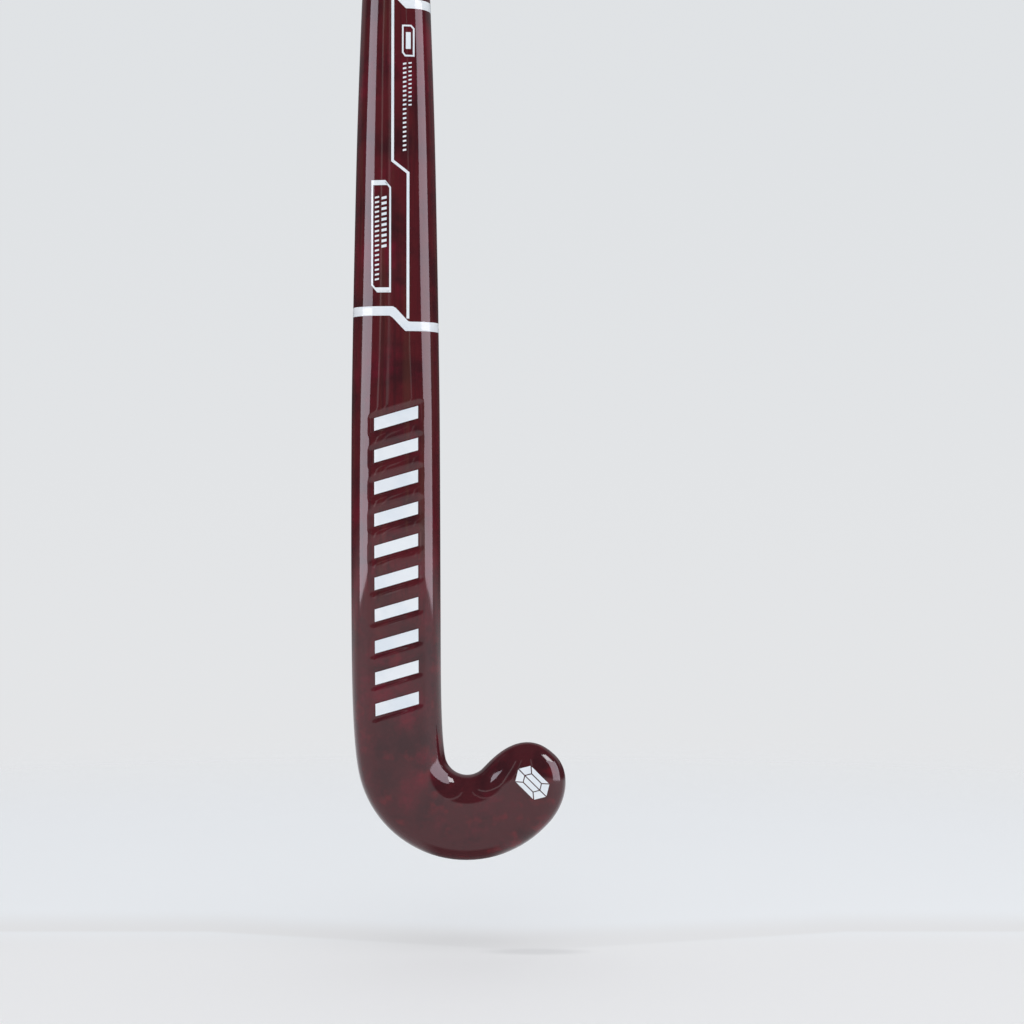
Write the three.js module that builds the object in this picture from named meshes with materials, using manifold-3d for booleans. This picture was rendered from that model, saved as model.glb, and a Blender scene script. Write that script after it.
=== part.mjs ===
// A 36.5 inch composite field hockey stick, right-handed, in millimetres.
// +Z runs up the shaft. The rounded back faces -Y, the flat playing face +Y, and the toe hooks towards +X.
// The origin is the middle of the stick's bounding box in plan, at the lowest point of the head.
import * as THREE from "three";
import { mergeVertices } from "three/addons/utils/BufferGeometryUtils.js";
import Module from "manifold-3d";

const wasm = await Module();
wasm.setup();

// ---- Driving dimensions ----------------------------------------------------------------------------

const LENGTH = 927; // 36.5 in, from the bottom of the head to the end of the butt cap
const BUTT = LENGTH - 0.6; // the butt's height; heights start 0.6 above the bottom of the head
const BOW = 24; // deepest rise of the playing face over the plane that it lies on
const WALL = 2.8; // laminate
const FIT = 0.3; // gap between pieces that touch
const TUBE_WALL = 1.2;
const BLADDER_WALL = 0.4;

// The spine is the middle line of the stick, seen square to the face.
const HEEL_CENTRE = new THREE.Vector2(39.7, 61.55);
const HEEL_RADIUS = 37.5;
const HEEL_FROM = THREE.MathUtils.degToRad(316.3); // where the toe leaves the heel's arc
const HEEL_TO = THREE.MathUtils.degToRad(195.5); // where the neck joins it
const TOE_LENGTH = 33.9; // straight stretch, from the heel's arc to the tip
const NECK_TOP = 140; // the shaft is straight above this height
const NECK_REACH = [35, 14.5]; // how far the neck curve keeps its upper and lower directions

// The rounding of the toe: its length along the spine and how square it is on each edge.
const TOE_ROUND = 31.6;
const TOE_SQUARE = { inner: 2.5, outer: 1.95 };

// Sections along the spine, by distance from the toe tip: half the width, depth of the back behind the
// widest line, depth of the face in front of it, radius of the face's edge, and how full the back is
// towards the hook (inner) and away from it (outer). A fullness of 2 is an ellipse.
const STATIONS = [
  { at: 0, half: 24.6, back: 12.0, lip: 4.2, edge: 4.2, inner: 2.4, outer: 4.5 },
  { at: 45, half: 24.7, back: 13.5, lip: 4.5, edge: 4.5, inner: 2.3, outer: 5.0 },
  { at: 110, half: 25.1, back: 15.0, lip: 4.5, edge: 4.5, inner: 2.4, outer: 5.0 },
  { at: 200, half: 25.3, back: 15.5, lip: 4.5, edge: 4.5, inner: 4.0, outer: 4.4 },
  { at: 305, half: 25.0, back: 16.0, lip: 4.5, edge: 4.5, inner: 3.6, outer: 3.6 },
  { at: 360, half: 24.3, back: 16.4, lip: 4.6, edge: 4.8, inner: 3.1, outer: 3.1 },
  { at: 420, half: 23.2, back: 16.8, lip: 4.8, edge: 5.2, inner: 3.1, outer: 3.1 },
  { at: 480, half: 21.8, back: 16.6, lip: 5.2, edge: 6.0, inner: 3.2, outer: 3.2 },
  { at: 540, half: 19.7, back: 16.2, lip: 6.0, edge: 7.5, inner: 3.2, outer: 3.2 },
  { at: 600, half: 17.2, back: 15.6, lip: 7.2, edge: 10.0, inner: 2.7, outer: 2.7 },
  { at: 660, half: 15.9, back: 15.0, lip: 8.2, edge: 12.5, inner: 2.2, outer: 2.2 },
  { at: 800, half: 15.5, back: 14.0, lip: 9.0, edge: 14.0, inner: 2.1, outer: 2.1 },
  { at: 990, half: 15.5, back: 13.6, lip: 9.4, edge: 15.0, inner: 2.0, outer: 2.0 },
];

// The bow is a bend between two straight runs, with the head left flat below FLAT_HEAD.
const BOW_LEAN = { head: 0.163, handle: 0.038 }; // slopes of the two runs
const BOW_BEND = { height: 170, length: 85 };
const FLAT_HEAD = 80;

// Heights on the shaft.
const CORE_TOP = 150;
const TUBES = { from: 156, to: 884 };
const LAMINATE_TOP = 915;
const GRIP = { from: 598, to: 920.5, taper: 12 };
const TAPE = { from: 586, to: 613 };

// Graphics on the shaft.
const BAND = { thick: 5.2, toeDrop: 8.6, heights: { band_lower: 311.1, band_upper: 492.1 } };
const STRIPE = 1.5;
const INLAY = { count: 10, first: 91, pitch: 17.8, left: -11.2, right: 13, thick: 7, rise: 7, depth: 1.0 };
const FACE_BARS = { count: 6, first: 325, pitch: 12, left: -12, right: -1.7, thick: 6, rise: 4 };

// ---- Materials -------------------------------------------------------------------------------------

const material = (color, roughness, metalness = 0) =>
  new THREE.MeshStandardMaterial({ color, roughness, metalness });

const MATERIALS = {
  lacquer: material("#4d1c22", 0.12),
  grit: material("#4b3a3c", 0.75),
  white: material("#e6ebee", 0.15),
  carbon: material("#1c1d20", 0.45),
  foam: material("#d8c9a4", 0.9),
  aramid: material("#c9a73d", 0.7),
  nylon: material("#dfe3e0", 0.5),
  cushion: material("#3a3b3d", 0.95),
  grip: material("#17181a", 0.8),
  tape: material("#101113", 0.35),
  rubber: material("#141517", 0.65),
};

// ---- Spine, bow and section ------------------------------------------------------------------------

const onHeel = (angle) =>
  new THREE.Vector2(Math.cos(angle), Math.sin(angle)).multiplyScalar(HEEL_RADIUS).add(HEEL_CENTRE);
const alongHeel = (angle) => new THREE.Vector2(-Math.sin(angle), Math.cos(angle));

const toeStart = onHeel(HEEL_FROM);
const toeTip = toeStart.clone().addScaledVector(alongHeel(HEEL_FROM), TOE_LENGTH);
const neckFoot = onHeel(HEEL_TO);
const HEAD_CURVES = [
  new THREE.LineCurve(toeTip, toeStart),
  new THREE.EllipseCurve(
    HEEL_CENTRE.x, HEEL_CENTRE.y, HEEL_RADIUS, HEEL_RADIUS, HEEL_FROM, HEEL_TO, true,
  ),
  new THREE.CubicBezierCurve(
    neckFoot,
    neckFoot.clone().addScaledVector(alongHeel(HEEL_TO), -NECK_REACH[1]),
    new THREE.Vector2(0, NECK_TOP - NECK_REACH[0]),
    new THREE.Vector2(0, NECK_TOP),
  ),
];
const HEAD_LENGTHS = HEAD_CURVES.map((curve) => curve.getLength());
const HEAD_LENGTH = HEAD_LENGTHS.reduce((sum, length) => sum + length, 0);

/** The distance from the toe tip, along the spine, of a height on the straight shaft. */
const atHeight = (z) => HEAD_LENGTH + z - NECK_TOP;

/** The spine's point (x, z) and its direction towards the butt, at a distance from the toe tip. */
function spineAt(distance) {
  let rest = distance;
  for (const [i, curve] of HEAD_CURVES.entries()) {
    if (rest <= HEAD_LENGTHS[i]) {
      const share = rest / HEAD_LENGTHS[i];
      const clamped = Math.max(0, share);
      const direction = curve.getTangentAt(clamped);
      const point = curve.getPointAt(clamped).addScaledVector(direction, Math.min(0, rest));
      return { point, direction };
    }
    rest -= HEAD_LENGTHS[i];
  }
  return { point: new THREE.Vector2(0, NECK_TOP + rest), direction: new THREE.Vector2(0, 1) };
}

/** One of the section's sizes at a distance from the toe tip, on a smooth curve through the stations. */
function sizeAt(distance, key) {
  const last = STATIONS.length - 2;
  const found = STATIONS.findIndex((station) => station.at > distance) - 1;
  const i = found < -1 ? last : THREE.MathUtils.clamp(found, 0, last);
  const [a, b] = [STATIONS[i], STATIONS[i + 1]];
  const slope = (from, to) => (to[key] - from[key]) / (to.at - from.at || 1);
  const before = STATIONS[Math.max(0, i - 1)];
  const after = STATIONS[Math.min(last + 1, i + 2)];
  const span = b.at - a.at;
  const t = THREE.MathUtils.clamp((distance - a.at) / span, 0, 1);
  const [leave, arrive] = [slope(before, b) * span, slope(a, after) * span];
  return (
    a[key] * (1 + 2 * t) * (1 - t) ** 2 + leave * t * (1 - t) ** 2 +
    b[key] * t * t * (3 - 2 * t) - arrive * t * t * (1 - t)
  );
}

/** The bend between the bow's two straight runs, before it is set to its depth. */
function bend(z) {
  const { head, handle } = BOW_LEAN;
  const curve = (at) => {
    const from = at - BOW_BEND.height;
    return ((handle - head) * from + (handle + head) * Math.hypot(from, BOW_BEND.length)) / 2;
  };
  const step = 0.01;
  const slope = (curve(FLAT_HEAD + step) - curve(FLAT_HEAD)) / step;
  return z > FLAT_HEAD ? curve(z) : curve(FLAT_HEAD) + slope * (z - FLAT_HEAD);
}

/** How far the bend lies behind the chord from the bottom of the head to the butt. */
const sag = (z) => bend(0) + ((bend(BUTT) - bend(0)) * z) / BUTT - bend(z);
const DEEPEST = Math.max(...Array.from({ length: LENGTH }, (_, z) => sag(z)));

/** The playing face's height over its plane, which is at y = 0 at both ends of the stick. */
const bow = (z) => (-BOW * sag(z)) / DEEPEST;

/** A point on the stick's skin, moved out by offset. across runs from -1 (outer edge) to 1 (hook edge). */
function skinPoint(distance, across, side, offset) {
  const { point, direction } = spineAt(distance);
  const size = (key) => sizeAt(distance, key);
  const [half, back, lip] = [size("half"), size("back"), size("lip")];
  const tip = THREE.MathUtils.clamp(1 - (distance + offset) / (TOE_ROUND + offset), 0, 1);
  const square = across > 0 ? TOE_SQUARE.inner : TOE_SQUARE.outer;
  const lateral = across * (half + offset) * (1 - tip ** square) ** (1 / square);
  const reach = Math.min(1, Math.hypot(tip, across * Math.sqrt(1 - tip * tip)));
  let y;
  if (side === "face") {
    const flat = 1 - size("edge") / half;
    const roll = Math.max(0, (reach - flat) / (1 - flat));
    y = -lip + (lip + offset) * Math.sqrt(Math.max(0, 1 - roll * roll));
  } else {
    const blend = THREE.MathUtils.smoothstep(across, -1, 1);
    const fullness = THREE.MathUtils.lerp(size("outer"), size("inner"), blend);
    y = -lip - (back + offset) * Math.sqrt(Math.max(0, 1 - reach ** fullness));
  }
  const x = point.x + lateral * direction.y;
  const z = point.y - lateral * direction.x;
  return new THREE.Vector3(x, y + bow(z), z);
}

// ---- Solids ----------------------------------------------------------------------------------------

const FINE = {
  face: [-1, -0.98, -0.93, -0.86, -0.5, 0, 0.5, 0.86, 0.93, 0.98],
  back: [1, 0.98, 0.92, 0.82, 0.66, 0.4, 0, -0.4, -0.66, -0.82, -0.92, -0.98],
};
const COARSE = { face: [-1, -0.9, 0, 0.9], back: [1, 0.92, 0.66, 0, -0.66, -0.92] };

/** A closed mesh's geometry as a manifold-3d solid. */
function solidOf(geometry) {
  const bare = geometry.index ? geometry.toNonIndexed() : geometry.clone();
  for (const name of Object.keys(bare.attributes)) if (name !== "position") bare.deleteAttribute(name);
  const merged = mergeVertices(bare, 1e-4);
  return new wasm.Manifold(
    new wasm.Mesh({
      numProp: 3,
      vertProperties: merged.attributes.position.array,
      triVerts: new Uint32Array(merged.index.array),
    }),
  );
}

/** A solid from rings of points, each ring running the same way round; both ends are closed flat. */
function loft(rings) {
  const positions = [];
  const count = rings[0].length;
  const add = (a, b, c) => positions.push(...a.toArray(), ...b.toArray(), ...c.toArray());
  const middle = (ring) => ring.reduce((sum, p) => sum.add(p), new THREE.Vector3()).divideScalar(count);
  const [first, last] = [middle(rings[0]), middle(rings.at(-1))];
  for (let i = 0; i < rings.length - 1; i++) {
    for (let j = 0; j < count; j++) {
      const k = (j + 1) % count;
      const [a, b, c, d] = [rings[i][j], rings[i][k], rings[i + 1][k], rings[i + 1][j]];
      add(a, c, b);
      add(a, d, c);
    }
  }
  for (let j = 0; j < count; j++) {
    const k = (j + 1) % count;
    add(first, rings[0][j], rings[0][k]);
    add(last, rings.at(-1)[k], rings.at(-1)[j]);
  }
  const geometry = new THREE.BufferGeometry();
  geometry.setAttribute("position", new THREE.Float32BufferAttribute(positions, 3));
  return solidOf(geometry);
}

/** The distances at which rings are placed between two distances from the toe tip. */
function ringDistances(from, to) {
  const places = [];
  for (let i = 1; i < 9; i++) places.push(TOE_ROUND * (1 - Math.cos((i * Math.PI) / 18)));
  for (let d = TOE_ROUND + 8; d < HEAD_LENGTH; d += 11) places.push(d);
  for (let z = NECK_TOP; z < BUTT + 60; z += z < 330 ? 24 : z < 600 ? 38 : 62) places.push(atHeight(z));
  return [from, ...places.filter((d) => d > from + 1 && d < to - 1), to];
}

const ring = (distance, offset, steps) => [
  ...steps.face.map((across) => skinPoint(distance, across, "face", offset)),
  ...steps.back.map((across) => skinPoint(distance, across, "back", offset)),
];

/** The stick's whole form, moved out by offset, from one distance to another, with flat ends. */
function form(offset, { from = -offset + 0.02, to = atHeight(LAMINATE_TOP), steps = FINE } = {}) {
  return loft(ringDistances(from, to).map((d) => ring(d, offset, steps)));
}

/** A solid on the shaft from rows of [height, offset]. */
const stack = (rows, steps = FINE) =>
  loft(rows.map(([z, offset]) => ring(atHeight(z), offset, steps)));

/** A sleeve on the shaft from rows of [height, inner offset, outer offset]. */
function sleeve(rows, steps = FINE) {
  const outer = stack(rows.map(([z, , out]) => [z, out]), steps);
  const inner = rows.map(([z, inside]) => [z, inside]);
  const [[z0, in0], [z1, in1]] = [inner[0], inner.at(-1)];
  return outer.subtract(stack([[z0 - 5, in0], ...inner, [z1 + 5, in1]], steps));
}

/** A layer on one side of the stick, between two offsets from its skin. */
function layer(side, inside, outside, { from, to, steps = FINE, reach = 0.97 } = {}) {
  const across = steps[side].filter((a) => Math.abs(a) < reach).sort((a, b) => a - b);
  const lanes = [-reach, ...across, reach];
  const ways = side === "face" ? lanes : lanes.toReversed();
  return loft(
    ringDistances(from, to).map((d) => [
      ...ways.map((a) => skinPoint(d, a, side, outside)),
      ...ways.toReversed().map((a) => skinPoint(d, a, side, inside)),
    ]),
  );
}

/** An outline in the plane of the face, as [x, z] points, run right through the stick. */
function prism(outline, hole) {
  const shape = new THREE.Shape(outline.map(([x, z]) => new THREE.Vector2(x, z)));
  if (hole) shape.holes.push(new THREE.Path(hole.map(([x, z]) => new THREE.Vector2(x, z))));
  const geometry = new THREE.ExtrudeGeometry(shape, { depth: 160, bevelEnabled: false });
  geometry.rotateX(Math.PI / 2);
  geometry.translate(0, 80, 0);
  return solidOf(geometry);
}

/** A block given by its lowest and highest corners. */
function block(low, high) {
  const size = high.map((v, i) => v - low[i]);
  const geometry = new THREE.BoxGeometry(...size);
  geometry.translate(...low.map((v, i) => v + size[i] / 2));
  return solidOf(geometry);
}

// ---- Outlines --------------------------------------------------------------------------------------

/** The edges of a band round the shaft that steps down towards the toe. */
function bandOutline(height) {
  const [up, down, low] = [height + BAND.thick / 2, height - BAND.thick / 2, BAND.toeDrop];
  return [
    [-40, up], [-40, down], [-2, down], [6, down - low], [40, down - low], [40, up - low],
    [7.9, up - low], [-0.1, up],
  ];
}

/** A line of even width through [x, z] points, with mitred corners. */
function lineOutline(points, width) {
  const sides = [[], []];
  points.forEach(([x, z], i) => {
    const [before, after] = [points[Math.max(0, i - 1)], points[Math.min(points.length - 1, i + 1)]];
    const here = new THREE.Vector2(x, z);
    const into = here.clone().sub(new THREE.Vector2(...before)).normalize();
    const out = new THREE.Vector2(...after).sub(here).normalize();
    const along = into.clone().add(out).normalize();
    const straight = into.length() && out.length() ? along.dot(into) : 1;
    const normal = new THREE.Vector2(-along.y, along.x).multiplyScalar(width / 2 / straight);
    sides[0].push([x + normal.x, z + normal.y]);
    sides[1].unshift([x - normal.x, z - normal.y]);
  });
  return [...sides[0], ...sides[1]].reverse();
}

/** A rectangle with its upper right and lower left corners cut off. */
const cutCorners = (left, right, low, high, cut) => [
  [left + cut, low], [right, low], [right, high - cut * 1.2], [right - cut, high], [left, high],
  [left, low + cut * 1.2],
];

/** A bar across the shaft that rises to the right, grown by some margin. */
const barOutline = ({ left, right, thick, rise }, z, grow = 0) => [
  [left - grow, z - (thick + rise) / 2 - grow],
  [right + grow, z + (rise - thick) / 2 - grow],
  [right + grow, z + (thick + rise) / 2 + grow],
  [left - grow, z + (thick - rise) / 2 + grow],
];

/** A long hexagon about a centre, turned by an angle. */
function hexagonOutline([x, z], length, width, turn = 0) {
  const corner = width * 0.3;
  const half = [length / 2, width / 2];
  const points = [
    [0, half[0]], [-half[1], half[0] - corner], [-half[1], corner - half[0]],
    [0, -half[0]], [half[1], corner - half[0]], [half[1], half[0] - corner],
  ];
  const [c, s] = [Math.cos(turn), Math.sin(turn)];
  return points.map(([a, b]) => [x + a * c - b * s, z + a * s + b * c]);
}

/** The head's outline in the plane of the face, drawn in from the edge, up to a height on the shaft. */
function headOutline(inset, top) {
  const stops = ringDistances(inset, atHeight(top)).slice(1);
  const edge = (across) => stops.map((d) => skinPoint(d, across, "face", -inset)).map((p) => [p.x, p.z]);
  const tip = skinPoint(inset, 0, "face", -inset);
  return [[tip.x, tip.z], ...edge(1), ...edge(-1).reverse()];
}

// ---- Pieces ----------------------------------------------------------------------------------------

const stick = new THREE.Group();

/** Adds one named piece. */
function add(name, solid, look) {
  const { numProp, vertProperties, triVerts } = solid.getMesh();
  const positions = new Float32Array((vertProperties.length / numProp) * 3);
  for (let i = 0; i < positions.length / 3; i++) {
    positions.set(vertProperties.subarray(i * numProp, i * numProp + 3), i * 3);
  }
  const geometry = new THREE.BufferGeometry();
  geometry.setAttribute("position", new THREE.BufferAttribute(positions, 3));
  geometry.setIndex(new THREE.BufferAttribute(new Uint32Array(triVerts), 1));
  geometry.computeVertexNormals();
  const mesh = new THREE.Mesh(geometry, look);
  mesh.name = name;
  stick.add(mesh);
}

/** The laminate: a hollow shell, open at the butt, with shallow pockets for the inlaid bars. */
function addLaminate() {
  const heights = Array.from({ length: INLAY.count }, (_, i) => INLAY.first + i * INLAY.pitch);
  const pocketSkin = layer("back", -INLAY.depth, 2, { from: 120, to: atHeight(290) });
  const inlaySkin = layer("back", -INLAY.depth + FIT, -0.15, { from: 120, to: atHeight(290) });
  let shell = form(0).subtract(form(-WALL, { to: atHeight(LAMINATE_TOP + 20) }));
  for (const [i, z] of heights.entries()) {
    shell = shell.subtract(pocketSkin.intersect(prism(barOutline(INLAY, z, 2 * FIT))));
    add(`back_inlay_${i + 1}`, inlaySkin.intersect(prism(barOutline(INLAY, z))), MATERIALS.white);
  }
  add("outer_laminate", shell, MATERIALS.lacquer);
}

/** What the shell holds: the head's foam core, the aramid ply, two tubes side by side, and a plug. */
function addInsides() {
  const inside = -(WALL + FIT);
  const ply = 0.8;
  const plySpan = { from: 12, to: atHeight(146), reach: 0.8, steps: COARSE };
  add("aramid_face_ply", layer("face", inside - ply, inside, plySpan), MATERIALS.aramid);
  const room = layer("face", inside - ply - FIT, 6, { ...plySpan, from: 11, to: atHeight(160), reach: 0.84 });
  add(
    "head_core",
    form(inside, { to: atHeight(CORE_TOP), steps: COARSE }).subtract(room),
    MATERIALS.foam,
  );
  for (const [name, sign] of [["toe_side", 1], ["heel_side", -1]]) {
    const half = (gap) => {
      const [near, far] = [sign * gap, sign * 60];
      return block([Math.min(near, far), -90, 100], [Math.max(near, far), 60, BUTT + 60]);
    };
    const span = (inset, extra) => ({
      from: atHeight(TUBES.from + inset), to: atHeight(TUBES.to + extra), steps: COARSE,
    });
    const tubeInside = inside - TUBE_WALL;
    const tube = form(inside, span(0, 0)).intersect(half(FIT / 2));
    const bore = form(tubeInside, span(TUBE_WALL, 20)).intersect(half(FIT / 2 + TUBE_WALL));
    add(`inner_tube_${name}`, tube.subtract(bore), MATERIALS.carbon);
    const skin = tubeInside - FIT;
    const bag = form(skin, span(TUBE_WALL + FIT, -4)).intersect(half(2 * FIT + TUBE_WALL));
    const air = form(skin - BLADDER_WALL, span(TUBE_WALL + FIT + BLADDER_WALL, 20)).intersect(
      half(2 * FIT + TUBE_WALL + BLADDER_WALL),
    );
    add(`bladder_${name}`, bag.subtract(air), MATERIALS.nylon);
  }
  add("handle_plug", stack([[TUBES.to + FIT, inside], [894, inside]], COARSE), MATERIALS.foam);
}

/** The handle's end cap, its cushion wrap, the grip and the tape that finishes it. */
function addHandle() {
  const [cushion, grip, rim] = [1.3, 3.2, 3.2];
  const spigot = stack([[894 + FIT, -(WALL + FIT)], [LAMINATE_TOP + FIT + 1, -(WALL + FIT)]]);
  const flange = stack([
    [LAMINATE_TOP + FIT, cushion], [GRIP.to + FIT, cushion], [GRIP.to + FIT + 0.1, rim],
    [BUTT - 2.2, rim], [BUTT - 0.7, rim - 0.7], [BUTT, rim - 2.4],
  ]);
  add("butt_cap", spigot.add(flange), MATERIALS.rubber);
  const top = GRIP.from + GRIP.taper;
  const waist = [650, 700, 760, 840];
  add(
    "grip_cushion",
    sleeve([top + FIT, ...waist, LAMINATE_TOP].map((z) => [z, FIT, cushion])),
    MATERIALS.cushion,
  );
  add(
    "grip_wrap",
    sleeve([
      [GRIP.from, FIT, 1.3], ...[top, ...waist, GRIP.to].map((z) => [z, cushion + FIT, grip]),
    ]),
    MATERIALS.grip,
  );
  add(
    "grip_finishing_tape",
    sleeve([
      [TAPE.from, FIT, 0.8], [GRIP.from - 1, FIT, 0.9], [GRIP.from - FIT, 1.3 + FIT, 2.1],
      [top, grip + FIT, grip + 0.8], [TAPE.to, grip + FIT, grip + 0.8],
    ]),
    MATERIALS.tape,
  );
}

/** The rough coat on the head's face, set in from the edge and ending in a step below the lower line. */
function addFaceCoat() {
  const skin = layer("face", FIT, 0.7, { from: 1.5, to: atHeight(150), reach: 0.98 });
  const top = prism([[-40, -10], [110, -10], [110, 102.8], [9.4, 102.8], [-0.8, 111.3], [-40, 111.3]]);
  add("face_grit_coat", skin.intersect(prism(headOutline(2.2, 150))).intersect(top), MATERIALS.grit);
}

/** White transfers: two stepped bands, the lines and frames between them, and two plain emblems. */
function addTransfers() {
  const [inside, outside] = [FIT, 2 * FIT];
  const shaft = { from: atHeight(280), to: atHeight(520) };
  const skin = form(outside, shaft).subtract(form(inside, { from: atHeight(270), to: atHeight(530) }));
  for (const [name, height] of Object.entries(BAND.heights)) {
    add(name, skin.intersect(prism(bandOutline(height))), MATERIALS.white);
  }
  const back = layer("back", inside, outside, shaft);
  const face = layer("face", inside, outside, shaft);
  const lowFace = layer("face", inside, outside, { from: atHeight(90), to: atHeight(310) });
  const toe = layer("back", inside, outside, { from: 4, to: 80 });
  const put = (name, side, outline, hole) =>
    add(name, side.intersect(prism(outline, hole)), MATERIALS.white);
  put("back_line", back, lineOutline([[7.5, 306.8], [7.5, 388.4], [-1.1, 395.2], [-1.1, 487.2]], STRIPE));
  put("face_line", face, lineOutline([[4.5, 309.9], [4.5, 388.4], [-2.5, 395.2], [-2.5, 488.7]], STRIPE));
  put(
    "back_frame_large", back,
    cutCorners(-12.8, -1.9, 321.4, 384.4, 3.1), cutCorners(-11.7, -3, 324.2, 381.6, 2.4).reverse(),
  );
  put(
    "back_frame_small", back,
    cutCorners(4, 11, 453.7, 471.6, 2), cutCorners(5.1, 9.9, 454.8, 470.5, 1.5).reverse(),
  );
  put("face_head_line", lowFace, [
    ...[[40, 103.2], [40, 104.6], [9.9, 104.6], [-0.9, 113.3]],
    ...[[-0.9, 194.9], [4, 194.9], [4, 196.1], [-1.7, 196.1], [-3.4, 197.8], [-7.4, 197.8]],
    ...[[-7.4, 196.6], [-3.9, 196.6], [-2.3, 195]],
    ...[[-2.3, 113.3], [-40, 113.3], [-40, 111.9], [-1.3, 111.9], [9.5, 103.2]],
  ]);
  put("face_emblem", lowFace, hexagonOutline([1, 256.2], 66, 31));
  put("toe_emblem", toe, hexagonOutline([77.1, 45.5], 23, 13, Math.PI / 4));
  for (let i = 0; i < FACE_BARS.count; i++) {
    put(`face_bar_${i + 1}`, face, barOutline(FACE_BARS, FACE_BARS.first + i * FACE_BARS.pitch));
  }
}

addLaminate();
addInsides();
addHandle();
addFaceCoat();
addTransfers();

const box = new THREE.Box3().setFromObject(stick);
const middle = box.getCenter(new THREE.Vector3());
stick.position.set(-middle.x, -middle.y, -box.min.z);

export default stick;
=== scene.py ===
"""Dresses a right-handed field hockey stick.

It has a lacquered shell with sunk bars and print, a rough coat on its face, and a wound grip.
"""

import logging
import math
from collections.abc import Callable, Sequence
from dataclasses import dataclass, field
from enum import Enum

import bmesh
import bpy
import numpy as np
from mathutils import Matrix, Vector


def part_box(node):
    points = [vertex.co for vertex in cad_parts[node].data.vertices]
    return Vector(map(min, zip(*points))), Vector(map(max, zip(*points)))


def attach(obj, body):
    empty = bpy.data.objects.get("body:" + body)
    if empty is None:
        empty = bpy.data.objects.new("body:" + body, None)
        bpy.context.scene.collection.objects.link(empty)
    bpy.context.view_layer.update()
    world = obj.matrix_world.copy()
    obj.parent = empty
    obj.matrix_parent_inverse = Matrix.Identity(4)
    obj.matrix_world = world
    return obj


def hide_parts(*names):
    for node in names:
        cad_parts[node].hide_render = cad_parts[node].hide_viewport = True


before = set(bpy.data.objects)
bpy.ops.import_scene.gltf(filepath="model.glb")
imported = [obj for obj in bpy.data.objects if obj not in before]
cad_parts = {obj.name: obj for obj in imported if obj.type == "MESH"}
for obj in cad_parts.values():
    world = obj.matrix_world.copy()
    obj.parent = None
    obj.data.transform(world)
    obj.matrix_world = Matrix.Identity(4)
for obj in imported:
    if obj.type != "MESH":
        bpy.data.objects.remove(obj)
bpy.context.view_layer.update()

log = logging.getLogger("hockey_stick")

Color = tuple[float, float, float]
Point = tuple[float, float]
Mesh = bpy.types.Mesh
Piece = bpy.types.Object
Material = bpy.types.Material
Node = bpy.types.Node
NodeTree = bpy.types.NodeTree
Socket = bpy.types.NodeSocket
MM = 0.001
# angle in degrees above which an edge stays crisp
SHARP = 40.0
# distances in metres within which points are one, or lie on a cut
MERGE = 1e-6
ON_CUT = 1e-7


class Side(Enum):
    """A side of the stick, valued by the sign of the Y that it faces."""

    FACE = 1
    BACK = -1


# ---- The stick's form ------------------------------------------------------------------------------


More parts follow.
